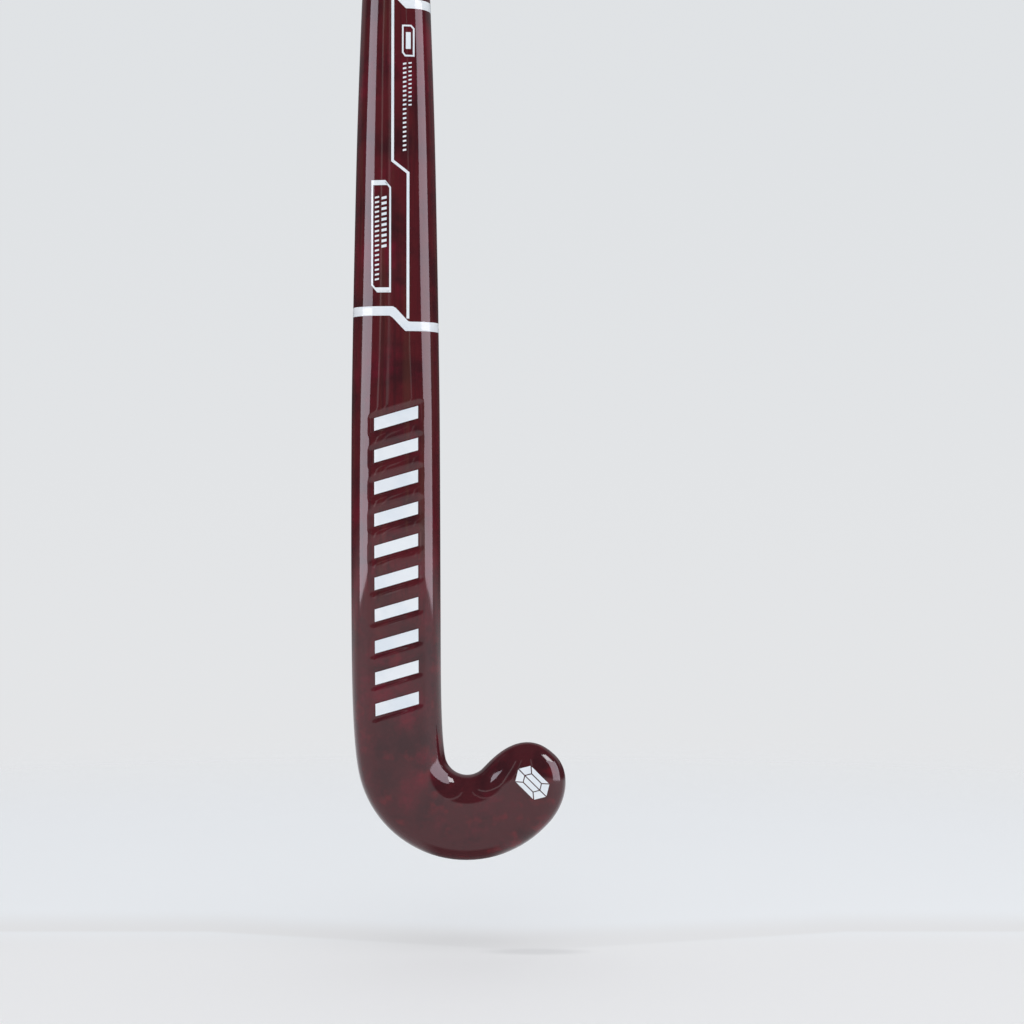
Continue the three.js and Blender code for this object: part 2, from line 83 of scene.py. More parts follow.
@dataclass
class StickForm:
    """The stick's own form, in millimetres, from which every surface piece takes its place.

    Distances run along the middle line from the toe tip. Heights are those of the shaft.
    """

    heel_centre: Point = (39.7, 61.55)
    heel_radius: float = 37.5
    heel_from: float = math.radians(316.3)
    heel_to: float = math.radians(195.5)
    toe_length: float = 33.9
    neck_top: float = 140.0
    neck_reach: Point = (35.0, 14.5)
    toe_round: float = 31.6
    toe_square: Point = (2.5, 1.95)
    butt: float = 926.4
    bow: float = 24.0
    # slopes of the bow's two straight runs: the head's and the handle's
    lean: Point = (0.163, 0.038)
    bend_height: float = 170.0
    bend_length: float = 85.0
    flat_head: float = 80.0
    # the butt cap's rim: how far below the butt, and how far out from the skin
    cap_rim: Point = (2.2, 3.2)
    # distance, half width, back depth, lip depth, edge radius, inner fullness, outer fullness
    stations: tuple[tuple[float, ...], ...] = (
        (0, 24.6, 12.0, 4.2, 4.2, 2.4, 4.5),
        (45, 24.7, 13.5, 4.5, 4.5, 2.3, 5.0),
        (110, 25.1, 15.0, 4.5, 4.5, 2.4, 5.0),
        (200, 25.3, 15.5, 4.5, 4.5, 4.0, 4.4),
        (305, 25.0, 16.0, 4.5, 4.5, 3.6, 3.6),
        (360, 24.3, 16.4, 4.6, 4.8, 3.1, 3.1),
        (420, 23.2, 16.8, 4.8, 5.2, 3.1, 3.1),
        (480, 21.8, 16.6, 5.2, 6.0, 3.2, 3.2),
        (540, 19.7, 16.2, 6.0, 7.5, 3.2, 3.2),
        (600, 17.2, 15.6, 7.2, 10.0, 2.7, 2.7),
        (660, 15.9, 15.0, 8.2, 12.5, 2.2, 2.2),
        (800, 15.5, 14.0, 9.0, 14.0, 2.1, 2.1),
        (990, 15.5, 13.6, 9.4, 15.0, 2.0, 2.0),
    )
    table: np.ndarray = field(init=False, repr=False)
    head_length: float = field(init=False)
    deepest: float = field(init=False)
    origin: np.ndarray = field(init=False, repr=False)

    def __post_init__(self) -> None:
        """Draws the middle line once, and finds where the frame holds the form's zero."""
        self.table = self._middle_line()
        self.head_length = float(self.table[-1, 0])
        heights = np.arange(0.0, self.butt, 1.0)
        self.deepest = 1.0
        self.deepest = float(np.max(-self.bow_at(heights) / self.bow))
        low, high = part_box("butt_cap")
        below, out = self.cap_rim
        self.origin = np.zeros(3)
        rim = self.skin(self.at_height(self.butt - below), 0.0, Side.FACE, out)
        self.origin = np.array([(low.x + high.x) / 2, high.y - float(rim[1]), high.z - self.butt * MM])

    def _middle_line(self) -> np.ndarray:
        """Returns rows of distance, x, z and direction along the head's part of the middle line."""
        centre = np.array(self.heel_centre)
        angles = np.linspace(self.heel_from, self.heel_to, 241)[:, None]
        arc = centre + self.heel_radius * np.hstack([np.cos(angles), np.sin(angles)])
        along = np.hstack([np.sin(angles), -np.cos(angles)])
        tip = arc[0] - along[0] * self.toe_length
        straight = tip + (arc[0] - tip) * np.linspace(0, 1, 40, endpoint=False)[:, None]
        up, out = self.neck_reach
        ends = [arc[-1], arc[-1] + along[-1] * out, np.array([0, self.neck_top - up])]
        ends.append(np.array([0.0, self.neck_top]))
        t = np.linspace(0, 1, 241)[1:, None]
        weights = [(1 - t) ** 3, 3 * t * (1 - t) ** 2, 3 * t * t * (1 - t), t**3]
        neck = sum(w * p for w, p in zip(weights, ends))
        steps = [3 * (1 - t) ** 2, 6 * t * (1 - t), 3 * t * t]
        turn = sum(w * (b - a) for w, a, b in zip(steps, ends, ends[1:]))
        turn /= np.linalg.norm(turn, axis=1)[:, None]
        points = np.vstack([straight, arc, neck])
        ways = np.vstack([np.repeat(along[:1], len(straight), 0), along, turn])
        gaps = np.linalg.norm(np.diff(points, axis=0), axis=1)
        run = np.concatenate([[0.0], np.cumsum(gaps)])
        return np.column_stack([run, points, ways])

    def at_height(self, z: float | np.ndarray) -> float | np.ndarray:
        """Returns the distance from the toe tip of a height on the straight shaft."""
        return self.head_length + z - self.neck_top

    def size(self, distance: np.ndarray, column: int) -> np.ndarray:
        """Returns one of the section's sizes on a smooth curve through the stations.

        Args:
            distance: distances from the toe tip.
            column: the size's column in stations.

        Returns:
            The size at each distance.
        """
        rows = np.array(self.stations, dtype=float)
        at, value = rows[:, 0], rows[:, column]
        last = len(at) - 2
        i = np.clip(np.searchsorted(at, distance, side="right") - 1, 0, last)
        before, after = np.maximum(i - 1, 0), np.minimum(i + 2, last + 1)
        span = at[i + 1] - at[i]
        t = np.clip((distance - at[i]) / span, 0, 1)
        leave = (value[i + 1] - value[before]) / (at[i + 1] - at[before]) * span
        arrive = (value[after] - value[i]) / (at[after] - at[i]) * span
        start = value[i] * (1 + 2 * t) * (1 - t) ** 2 + leave * t * (1 - t) ** 2
        return start + value[i + 1] * t * t * (3 - 2 * t) - arrive * t * t * (1 - t)

    def _bend(self, z: np.ndarray) -> np.ndarray:
        """Returns the bend between the bow's two straight runs, before its depth is set.

        Args:
            z: heights.

        Returns:
            The bend at each height, kept straight below the flat part of the head.
        """
        head, handle = self.lean

        def curve(at: np.ndarray) -> np.ndarray:
            """Returns the smooth bend at a height."""
            run = at - self.bend_height
            lift = (handle + head) * np.hypot(run, self.bend_length)
            return ((handle - head) * run + lift) / 2

        flat, step = self.flat_head, 0.01
        slope = (curve(flat + step) - curve(flat)) / step
        return np.where(z > flat, curve(z), curve(flat) + slope * (z - flat))

    def bow_at(self, z: np.ndarray) -> np.ndarray:
        """Returns how far the playing face lies over its plane.

        Args:
            z: heights.

        Returns:
            The distance at each height, below zero where the face is hollow.
        """
        ends = self._bend(np.array([0.0, self.butt]))
        sag = ends[0] + (ends[1] - ends[0]) * z / self.butt - self._bend(np.asarray(z))
        return -self.bow * sag / self.deepest

    def skin(
        self,
        distance: float | np.ndarray,
        across: float | np.ndarray,
        side: Side,
        offset: float | np.ndarray = 0.0,
    ) -> np.ndarray:
        """Returns points of the stick's skin.

        Args:
            distance: distances from the toe tip.
            across: -1 at the outer edge to 1 at the hook's edge.
            side: the side of the stick.
            offset: how far the skin is moved out.

        Returns:
            The points in the frame, in metres, with x, y and z on the last axis.
        """
        distance, across, offset = np.broadcast_arrays(
            np.asarray(distance, float), np.asarray(across, float), np.asarray(offset, float)
        )
        table = self.table
        on_head = np.clip(distance, 0, self.head_length)
        x, z, way_x, way_z = (np.interp(on_head, table[:, 0], table[:, c]) for c in (1, 2, 3, 4))
        beyond = distance - on_head
        x, z = x + beyond * way_x, z + beyond * way_z
        half, back, lip, edge, inner, outer = (self.size(distance, c) for c in range(1, 7))
        tip = np.clip(1 - (distance + offset) / (self.toe_round + offset), 0, 1)
        square = np.where(across > 0, *self.toe_square)
        lateral = across * (half + offset) * (1 - tip**square) ** (1 / square)
        reach = np.minimum(1, np.hypot(tip, across * np.sqrt(1 - tip * tip)))
        if side is Side.FACE:
            flat = 1 - edge / half
            roll = np.maximum(0, (reach - flat) / (1 - flat))
            y = -lip + (lip + offset) * np.sqrt(np.maximum(0, 1 - roll * roll))
        else:
            blend = np.clip((across + 1) / 2, 0, 1)
            blend = blend * blend * (3 - 2 * blend)
            fullness = outer + (inner - outer) * blend
            y = -lip - (back + offset) * np.sqrt(np.maximum(0, 1 - reach**fullness))
        x, z = x + lateral * way_z, z - lateral * way_x
        points = np.stack([x, y + self.bow_at(z), z], axis=-1) * MM
        return points + self.origin

    def ring(
        self,
        distance: np.ndarray,
        face: Sequence[float],
        back: Sequence[float],
        offset: float | np.ndarray = 0.0,
    ) -> np.ndarray:
        """Returns closed rings of points, once round the section for each distance.

        Args:
            distance: one distance for each ring, or for each point of each ring.
            face: places across the face, from the outer edge.
            back: places across the back, from the hook's edge.
            offset: how far the points are moved out, for each ring or point.

        Returns:
            An array of rings by points by 3.
        """
        count = len(face) + len(back)
        spread = np.asarray(distance, float).reshape(len(distance), -1)
        spread = np.broadcast_to(spread, (len(distance), count))
        lift = np.asarray(offset, float)
        lift = lift[:, None] if lift.ndim == 1 else lift
        lift = np.broadcast_to(lift, spread.shape)
        n = len(face)
        front = self.skin(spread[:, :n], np.array(face)[None], Side.FACE, lift[:, :n])
        rear = self.skin(spread[:, n:], np.array(back)[None], Side.BACK, lift[:, n:])
        return np.concatenate([front, rear], axis=1)

    def point(self, x: float, z: float) -> Vector:
        """Returns the frame's place of a point in the plane of the face, with y left at zero."""
        return Vector((x * MM + self.origin[0], 0.0, z * MM + self.origin[2]))


# ---- Mesh helpers ----------------------------------------------------------------------------------


def finish_mesh(mesh: Mesh, sharp: float = SHARP) -> None:
    """Shades a mesh smooth, with edges sharper than an angle in degrees kept crisp."""
    mesh.shade_smooth()
    mesh.set_sharp_from_angle(angle=math.radians(sharp))


def new_piece(name: str, mesh: Mesh, material: Material) -> Piece:
    """Adds a mesh to the scene as one piece with one material.

    Args:
        name: the piece's name.
        mesh: its mesh.
        material: its material.

    Returns:
        The piece.
    """
    mesh.name = name
    mesh.materials.clear()
    mesh.materials.append(material)
    piece = bpy.data.objects.new(name, mesh)
    bpy.context.scene.collection.objects.link(piece)
    return piece


def skin_rings(rings: np.ndarray, wrap: bool = False) -> Mesh:
    """Joins rings of points into one closed mesh with its faces turned outwards.

    Args:
        rings: rings by points by 3, in metres.
        wrap: whether the last ring is joined to the first. If not, both are filled with a fan.

    Returns:
        The mesh.
    """
    rows, columns, _ = rings.shape
    vertices = list(rings.reshape(-1, 3))
    faces = []
    for i in range(rows if wrap else rows - 1):
        a, b = i * columns, ((i + 1) % rows) * columns
        for j in range(columns):
            k = (j + 1) % columns
            faces.append((a + j, a + k, b + k, b + j))
    for row in () if wrap else (0, rows - 1):
        middle = len(vertices)
        vertices.append(rings[row].mean(axis=0))
        faces += [(row * columns + j, row * columns + (j + 1) % columns, middle) for j in range(columns)]
    mesh = bpy.data.meshes.new("rings")
    mesh.from_pydata([tuple(map(float, v)) for v in vertices], [], faces)
    work = bmesh.new()
    work.from_mesh(mesh)
    bmesh.ops.remove_doubles(work, verts=work.verts, dist=MERGE)
    bmesh.ops.dissolve_degenerate(work, edges=work.edges, dist=ON_CUT)
    bmesh.ops.recalc_face_normals(work, faces=work.faces)
    work.to_mesh(mesh)
    work.free()
    return mesh


def ring_piece(
    name: str, rings: np.ndarray, material: Material, sharp: float = SHARP, wrap: bool = False
) -> Piece:
    """Adds a piece whose skin runs over rings of points.

    Args:
        name: the piece's name.
        rings: rings by points by 3, in metres.
        material: its material.
        sharp: the angle above which its edges stay crisp, in degrees.
        wrap: whether the last ring is joined to the first.

    Returns:
        The piece.
    """
    mesh = skin_rings(rings, wrap)
    finish_mesh(mesh, sharp)
    return new_piece(name, mesh, material)


def smooth(value: np.ndarray) -> np.ndarray:
    """Returns an eased step from 0 to 1."""
    t = np.clip(value, 0, 1)
    return t * t * (3 - 2 * t)


def line_quads(points: Sequence[Point], width: float, closed: bool = False) -> list[list[Point]]:
    """Returns the quads of a line of even width with mitred corners.

    Args:
        points: the line's corners.
        width: its width.
        closed: whether it runs back to its first corner.

    Returns:
        One quad for each stretch.
    """
    count = len(points)
    pairs: list[tuple[Vector, Vector]] = []
    for i, point in enumerate(points):
        here = Vector(point)
        before = Vector(points[(i - 1) % count]) if closed or i else here
        after = Vector(points[(i + 1) % count]) if closed or i < count - 1 else here
        into, out = (here - before).normalized(), (after - here).normalized()
        along = (into + out).normalized()
        straight = along.dot(into) if into.length and out.length else 1.0
        normal = Vector((-along.y, along.x)) * (width / 2 / straight)
        pairs.append((here + normal, here - normal))
    stretches = range(count if closed else count - 1)
    quads = [(pairs[i], pairs[(i + 1) % count]) for i in stretches]
    return [[tuple(a[0]), tuple(a[1]), tuple(b[1]), tuple(b[0])] for a, b in quads]


def flat_sheet(
    form: StickForm, polygons: Sequence[Sequence[Point]], across: float = 1.2, along: float = 4.0
) -> Mesh:
    """Makes a flat sheet in the plane of the face, cut finely enough to bend onto the stick.

    Args:
        form: the stick's form.
        polygons: outlines of x and z, in millimetres.
        across: the cut's pitch in x.
        along: the cut's pitch in z.

    Returns:
        The sheet, at y = 0.
    """
    work = bmesh.new()
    for polygon in polygons:
        work.faces.new([work.verts.new(form.point(*p)) for p in polygon])
    bmesh.ops.remove_doubles(work, verts=work.verts, dist=2 * MERGE)
    xs = [v.co.x for v in work.verts]
    zs = [v.co.z for v in work.verts]
    for values, pitch, normal in ((xs, across, (1, 0, 0)), (zs, along, (0, 0, 1))):
        step = pitch * MM
        for n in range(math.ceil(min(values) / step), math.floor(max(values) / step) + 1):
            geometry = work.verts[:] + work.edges[:] + work.faces[:]
            place = Vector(normal) * (n * step)
            bmesh.ops.bisect_plane(work, geom=geometry, dist=ON_CUT, plane_co=place, plane_no=normal)
    bmesh.ops.recalc_face_normals(work, faces=work.faces)
    mesh = bpy.data.meshes.new("sheet")
    work.to_mesh(mesh)
    work.free()
    return mesh


# ---- Node helpers ----------------------------------------------------------------------------------


class Nodes:
    """Adds nodes to a tree, with their values and links given in one call."""

    def __init__(self, tree: NodeTree) -> None:
        """Wraps a node tree."""
        self.tree = tree

    def add(self, kind: str, inputs: dict[str | int, object] | None = None, **settings: object) -> Node:
        """Adds one node.

        Args:
            kind: the node's type name.
            inputs: values, or sockets to link, by the input's name or number.
            settings: the node's own properties.

        Returns:
            The node.
        """
        node = self.tree.nodes.new(kind)
        for key, value in settings.items():
            setattr(node, key, value)
        for key, value in (inputs or {}).items():
            if isinstance(value, Socket):
                self.tree.links.new(value, node.inputs[key])
            else:
                node.inputs[key].default_value = value
        return node

    def place(self) -> Socket:
        """Adds a Texture Coordinate node and returns the place in the object's own space."""
        return self.add("ShaderNodeTexCoord").outputs["Object"]

    def math(self, operation: str, *values: object) -> Socket:
        """Adds a Math node and returns its result."""
        return self.add("ShaderNodeMath", dict(enumerate(values)), operation=operation).outputs[0]

    def times(self, first: object, second: object) -> Socket:
        """Returns the product of two values."""
        return self.math("MULTIPLY", first, second)

    def plus(self, first: object, second: object) -> Socket:
        """Returns the sum of two values."""
        return self.math("ADD", first, second)

    def minus(self, first: object, second: object) -> Socket:
        """Returns the first value less the second."""
        return self.math("SUBTRACT", first, second)

    def vector(self, operation: str, *values: object) -> Socket:
        """Adds a Vector Math node and returns its vector."""
        inputs = {3 if operation == "SCALE" and i == 1 else i: v for i, v in enumerate(values)}
        return self.add("ShaderNodeVectorMath", inputs, operation=operation).outputs["Vector"]

    def length(self, vector: Socket) -> Socket:
        """Adds a Vector Math node and returns its vector's length."""
        return self.add("ShaderNodeVectorMath", {0: vector}, operation="LENGTH").outputs["Value"]

    def combine(self, x: object, y: object, z: object) -> Socket:
        """Adds a Combine XYZ node and returns its vector."""
        return self.add("ShaderNodeCombineXYZ", {0: x, 1: y, 2: z}).outputs[0]

    def split(self, vector: Socket) -> Sequence[Socket]:
        """Adds a Separate XYZ node and returns its three parts."""
        return self.add("ShaderNodeSeparateXYZ", {0: vector}).outputs

    def ease(self, value: object, low: float, high: float, start: float = 0.0, end: float = 1.0) -> Socket:
        """Adds a smooth Map Range node from low..high to start..end and returns its result."""
        inputs = {"Value": value, "From Min": low, "From Max": high, "To Min": start, "To Max": end}
        return self.add("ShaderNodeMapRange", inputs, interpolation_type="SMOOTHSTEP").outputs[0]

    def noise(self, place: object, scale: object, detail: float = 2.0, rough: float = 0.5) -> Socket:
        """Adds a Noise Texture and returns its value."""
        inputs = {"Vector": place, "Scale": scale, "Detail": detail, "Roughness": rough}
        return self.add("ShaderNodeTexNoise", inputs).outputs[0]

    def mix(self, factor: object, first: object, second: object) -> Socket:
        """Adds a colour Mix node.

        Args:
            factor: the second colour's share.
            first: the first colour, or its socket.
            second: the second colour, or its socket.

        Returns:
            The mixed colour.
        """
        node = self.add("ShaderNodeMix", data_type="RGBA")
        for key, value in ((0, factor), (6, first), (7, second)):
            if isinstance(value, Socket):
                self.tree.links.new(value, node.inputs[key])
            else:
                node.inputs[key].default_value = (*value, 1.0) if key else value
        return node.outputs[2]


class Recipe(Nodes):
    """A Geometry Nodes tree with named inputs, run on a mesh and turned into a plain mesh."""

    SOCKETS = {
        float: "NodeSocketFloat",
        int: "NodeSocketInt",
        tuple: "NodeSocketVector",
        Piece: "NodeSocketObject",
    }

    def __init__(self, name: str, **defaults: object) -> None:
        """Starts the tree.

        Args:
            name: the tree's name.
            defaults: each input's default value, or its type where it has none.
        """
        super().__init__(bpy.data.node_groups.new(name, "GeometryNodeTree"))
        face = self.tree.interface
        face.new_socket("Geometry", in_out="OUTPUT", socket_type="NodeSocketGeometry")
        face.new_socket("Geometry", in_out="INPUT", socket_type="NodeSocketGeometry")
        face.new_socket("material", in_out="INPUT", socket_type="NodeSocketMaterial")
        for key, value in defaults.items():
            kind = value if isinstance(value, type) else type(value)
            socket = face.new_socket(key, in_out="INPUT", socket_type=self.SOCKETS[kind])
            if not isinstance(value, type):
                socket.default_value = value
        self.given = self.tree.nodes.new("NodeGroupInput").outputs

    def end(self, geometry: Socket) -> None:
        """Ends the tree in Realize Instances and Set Material.

        Args:
            geometry: what the tree has made.
        """
        real = self.add("GeometryNodeRealizeInstances", {0: geometry}).outputs[0]
        inputs = {"Geometry": real, "Material": self.given["material"]}
        painted = self.add("GeometryNodeSetMaterial", inputs).outputs[0]
        self.add("NodeGroupOutput", {0: painted})

    def thicken(self, sheet: Socket, depth: object) -> Socket:
        """Gives a sheet thickness under it, closed all round.

        Args:
            sheet: the sheet.
            depth: the thickness, in metres.

        Returns:
            The solid.
        """
        under = self.times(depth, -1.0)
        inputs = {"Mesh": sheet, "Offset Scale": under, "Individual": False}
        walls = self.add("GeometryNodeExtrudeMesh", inputs, mode="FACES").outputs[0]
        lower = self.add("GeometryNodeFlipFaces", {0: walls}).outputs[0]
        joined = self.add("GeometryNodeJoinGeometry", {0: sheet})
        self.tree.links.new(lower, joined.inputs[0])
        return self.add("GeometryNodeMergeByDistance", {0: joined.outputs[0], "Distance": MERGE}).outputs[0]

    def run(self, name: str, base: Mesh, material: Material, **values: object) -> Piece:
        """Runs the tree on a mesh.

        Args:
            name: the new piece's name.
            base: the mesh that it starts from.
            material: the material that it ends with.
            values: values of the tree's own inputs.

        Returns:
            The piece, as a plain mesh.
        """
        piece = bpy.data.objects.new(name, base)
        bpy.context.scene.collection.objects.link(piece)
        modifier = piece.modifiers.new("recipe", "NODES")
        modifier.node_group = self.tree
        values["material"] = material
        for item in self.tree.interface.items_tree:
            if item.in_out == "INPUT" and item.name in values:
                modifier[item.identifier] = values[item.name]
        graph = bpy.context.evaluated_depsgraph_get()
        graph.update()
        mesh = bpy.data.meshes.new_from_object(piece.evaluated_get(graph))
        piece.modifiers.clear()
        piece.data = mesh
        mesh.name = name
        finish_mesh(mesh)
        return piece


# how far from the middle a pressed sheet's rays start, and how far they go, in metres
RAY_START = 0.2
RAY_LENGTH = 0.5


def press_on_recipe() -> Recipe:
    """Returns the tree that presses flat sheets, repeated along a line if asked, onto a surface."""
    tree = Recipe("press_on", surface=Piece, toward=1.0, count=1, pitch=0.01, lift=0.00005, depth=0.0003)
    given = tree.given
    step = tree.combine(0.0, 0.0, given["pitch"])
    row = tree.add("GeometryNodeMeshLine", {"Count": given["count"], "Offset": step})
    inputs = {"Points": row.outputs[0], "Instance": given["Geometry"]}
    copies = tree.add("GeometryNodeInstanceOnPoints", inputs)
    flat = tree.add("GeometryNodeRealizeInstances", {0: copies.outputs[0]}).outputs[0]
    target = tree.add("GeometryNodeObjectInfo", {"Object": given["surface"]}, transform_space="ORIGINAL")
    x, _, z = tree.split(tree.add("GeometryNodeInputPosition").outputs[0])
    start = tree.times(given["toward"], RAY_START)
    down = tree.combine(0.0, tree.times(given["toward"], -1.0), 0.0)
    ray = tree.add(
        "GeometryNodeRaycast",
        {
            "Target Geometry": target.outputs["Geometry"],
            "Source Position": tree.combine(x, start, z),
            "Ray Direction": down,
            "Ray Length": RAY_LENGTH,
        },
    ).outputs
    place = tree.vector("ADD", ray["Hit Position"], tree.vector("SCALE", ray["Hit Normal"], given["lift"]))
    pressed = tree.add("GeometryNodeSetPosition", {"Geometry": flat, "Position": place}).outputs[0]
    flips = tree.math("LESS_THAN", given["toward"], 0.0)
    turned = tree.add("GeometryNodeFlipFaces", {0: pressed, 1: flips}).outputs[0]
    tree.end(tree.thicken(turned, given["depth"]))
    return tree


# half width, depth to the face and depth to the back of the oval handle, in metres
GRIP_RADII = (0.0159, 0.0083, 0.0150)
BUTT_RADII = (0.0155, 0.0094, 0.0136)
WINDING = dict(
    start=(0.0, 0.0, 0.0),
    end=(0.0, 0.0, 0.3),
    radii=GRIP_RADII,
    radii_end=BUTT_RADII,
    turns=12.0,
    ribbon=0.03,
    overlap=0.004,
    lift=0.001,
    depth=0.0015,
)
# shares of the ribbon's width: what is wound past each end, and the hem
SPARE = 0.93
HEM = 0.05
# how far the hem rises, as a share of the depth: it sinks
SINK = -0.35
# how wide the slope up an overlap is, in overlaps
SLOPE = 1.6


def wind(tree: Recipe, u: object, v: object) -> tuple[Socket, Socket]:
    """Winds a place on a ribbon round an oval handle, with the ribbon's ends tapered to lie level.

    Args:
        tree: a tree that has the winding's inputs.
        u: the place's share of the ribbon's length.
        v: its share of the ribbon's width, from the lower edge.

    Returns:
        The place on the ribbon's outer surface, and the way out from the handle.
    """
    given = tree.given
    angle = tree.times(tree.times(u, given["turns"]), 2 * math.pi)
    run = tree.vector("SUBTRACT", given["end"], given["start"])
    climb = tree.math("DIVIDE", given["ribbon"], tree.length(run))
    margin = tree.times(climb, SPARE)
    whole = tree.plus(1.0, tree.minus(tree.times(margin, 2.0), climb))
    edge = tree.minus(tree.times(u, whole), margin)
    low = tree.math("MAXIMUM", edge, 0.0)
    high = tree.math("MINIMUM", tree.plus(edge, climb), 1.0)
    share = tree.plus(low, tree.times(v, tree.minus(high, low)))
    v = tree.math("DIVIDE", tree.minus(share, edge), climb)
    axis = tree.vector("ADD", given["start"], tree.vector("SCALE", run, share))
    lap = tree.times(tree.math("DIVIDE", given["overlap"], given["ribbon"]), SLOPE)
    inputs = {"Value": v, "From Min": 0.0, "From Max": lap, "To Min": 1.0, "To Max": 0.0}
    ride = tree.add("ShaderNodeMapRange", inputs, interpolation_type="SMOOTHERSTEP").outputs[0]
    hem = tree.ease(tree.math("MINIMUM", v, tree.minus(1.0, v)), 0.0, HEM, SINK, 0.0)
    height = tree.times(tree.plus(ride, hem), given["depth"])
    out = tree.plus(given["lift"], tree.plus(given["depth"], height))
    left = tree.minus(1.0, share)
    near_end = tree.minus(1.0, tree.times(left, left))
    change = tree.vector("SUBTRACT", given["radii_end"], given["radii"])
    wide, face, back = tree.split(tree.vector("ADD", given["radii"], tree.vector("SCALE", change, near_end)))
    cosine, sine = tree.math("COSINE", angle), tree.math("SINE", angle)
    front = tree.math("GREATER_THAN", cosine, 0.0)
    deep = tree.plus(back, tree.times(front, tree.minus(face, back)))
    x, y = tree.times(sine, tree.plus(wide, out)), tree.times(cosine, tree.plus(deep, out))
    offset = tree.combine(x, y, 0.0)
    outward = tree.combine(tree.math("DIVIDE", sine, wide), tree.math("DIVIDE", cosine, deep), 0.0)
    return tree.vector("ADD", axis, offset), outward


def unit_grid(tree: Recipe, columns: object, rows: object) -> Sequence[Socket]:
    """Adds a grid one wide and one long.

    Args:
        tree: the tree that it goes in.
        columns: how many points it has along the ribbon.
        rows: how many points it has across.

    Returns:
        Its mesh, and its points' shares along and across from 0 to 1.
    """
    sizes = {"Size X": 1.0, "Size Y": 1.0, "Vertices X": columns, "Vertices Y": rows}
    grid = tree.add("GeometryNodeMeshGrid", sizes).outputs[0]
    u, v, _ = tree.split(tree.add("GeometryNodeInputPosition").outputs[0])
    return grid, tree.plus(u, 0.5), tree.plus(v, 0.5)


def spiral_recipe() -> Recipe:
    """Returns the tree that winds one overlapping ribbon round an oval handle."""
    tree = Recipe("spiral_wrap", **WINDING, around=64, rows=9)
    given = tree.given
    total = tree.math("ROUND", tree.times(given["around"], given["turns"]))
    grid, u, v = unit_grid(tree, total, given["rows"])
    place, _ = wind(tree, u, v)
    wound = tree.add("GeometryNodeSetPosition", {"Geometry": grid, "Position": place}).outputs[0]
    outward = tree.add("GeometryNodeFlipFaces", {0: wound}).outputs[0]
    tree.end(tree.thicken(outward, given["depth"]))
    return tree


def stud_recipe() -> Recipe:
    """Returns the tree that sets small studs in rows along the same winding."""
    tree = Recipe(
        "wound_studs", **WINDING, columns=240, rows=3, low=0.3, high=0.9, radius=0.0006, tall=0.0004, sides=7
    )
    given = tree.given
    grid, u, share = unit_grid(tree, given["columns"], given["rows"])
    span = tree.minus(given["high"], given["low"])
    v = tree.plus(given["low"], tree.times(share, span))
    row = tree.times(share, tree.minus(given["rows"], 1.0))
    odd = tree.math("FLOORED_MODULO", tree.math("ROUND", row), 2.0)
    step = tree.math("DIVIDE", 0.5, given["columns"])
    place, outward = wind(tree, tree.plus(u, tree.times(odd, step)), v)
    way = tree.add("FunctionNodeAlignRotationToVector", {"Vector": outward}, axis="Z").outputs[0]
    stud = tree.add(
        "GeometryNodeMeshCylinder",
        {"Vertices": given["sides"], "Radius": given["radius"], "Depth": given["tall"]},
        fill_type="NGON",
    ).outputs["Mesh"]
    wound = tree.add("GeometryNodeSetPosition", {"Geometry": grid, "Position": place}).outputs[0]
    studs = tree.add("GeometryNodeInstanceOnPoints", {"Points": wound, "Instance": stud, "Rotation": way})
    tree.end(studs.outputs[0])
    return tree


# ---- Shared effects --------------------------------------------------------------------------------


Fill = Callable[[Nodes, Sequence[Socket]], Sequence[Socket]]


def shader_group(name: str, inputs: dict[str, float], outputs: Sequence[str], fill: Fill) -> NodeTree:
    """Makes a shader node group once.

    Args:
        name: the group's name.
        inputs: each number input's name and default.
        outputs: each number output's name.
        fill: adds the group's nodes and returns the sockets of its outputs.

    Returns:
        The group.
    """
    found = bpy.data.node_groups.get(name)
    if found:
        return found
    tree = bpy.data.node_groups.new(name, "ShaderNodeTree")
    for key, value in inputs.items():
        tree.interface.new_socket(key, in_out="INPUT", socket_type="NodeSocketFloat").default_value = value
    for key in outputs:
        tree.interface.new_socket(key, in_out="OUTPUT", socket_type="NodeSocketFloat")
    nodes = Nodes(tree)
    results = fill(nodes, nodes.add("NodeGroupInput").outputs)
    nodes.add("NodeGroupOutput", dict(enumerate(results)))
    return tree


def grain_group() -> NodeTree:
    """Returns the group for fine grain: a height and a speckle, both from 0 to 1."""

    def fill(nodes: Nodes, given: Sequence[Socket]) -> Sequence[Socket]:
        """Adds the group's nodes.

        Args:
            nodes: the group's nodes.
            given: its inputs.

        Returns:
            What goes to its outputs.
        """
        place = nodes.place()
        fine = nodes.noise(place, given["Scale"], 3.0, 0.6)
        coarse = nodes.noise(place, nodes.times(given["Scale"], 0.31), 2.0)
        height = nodes.plus(nodes.times(fine, 0.65), nodes.times(coarse, 0.35))
        return height, nodes.ease(fine, 0.52, 0.72)

    return shader_group("fine_grain", {"Scale": 1500.0}, ("Height", "Speckle"), fill)


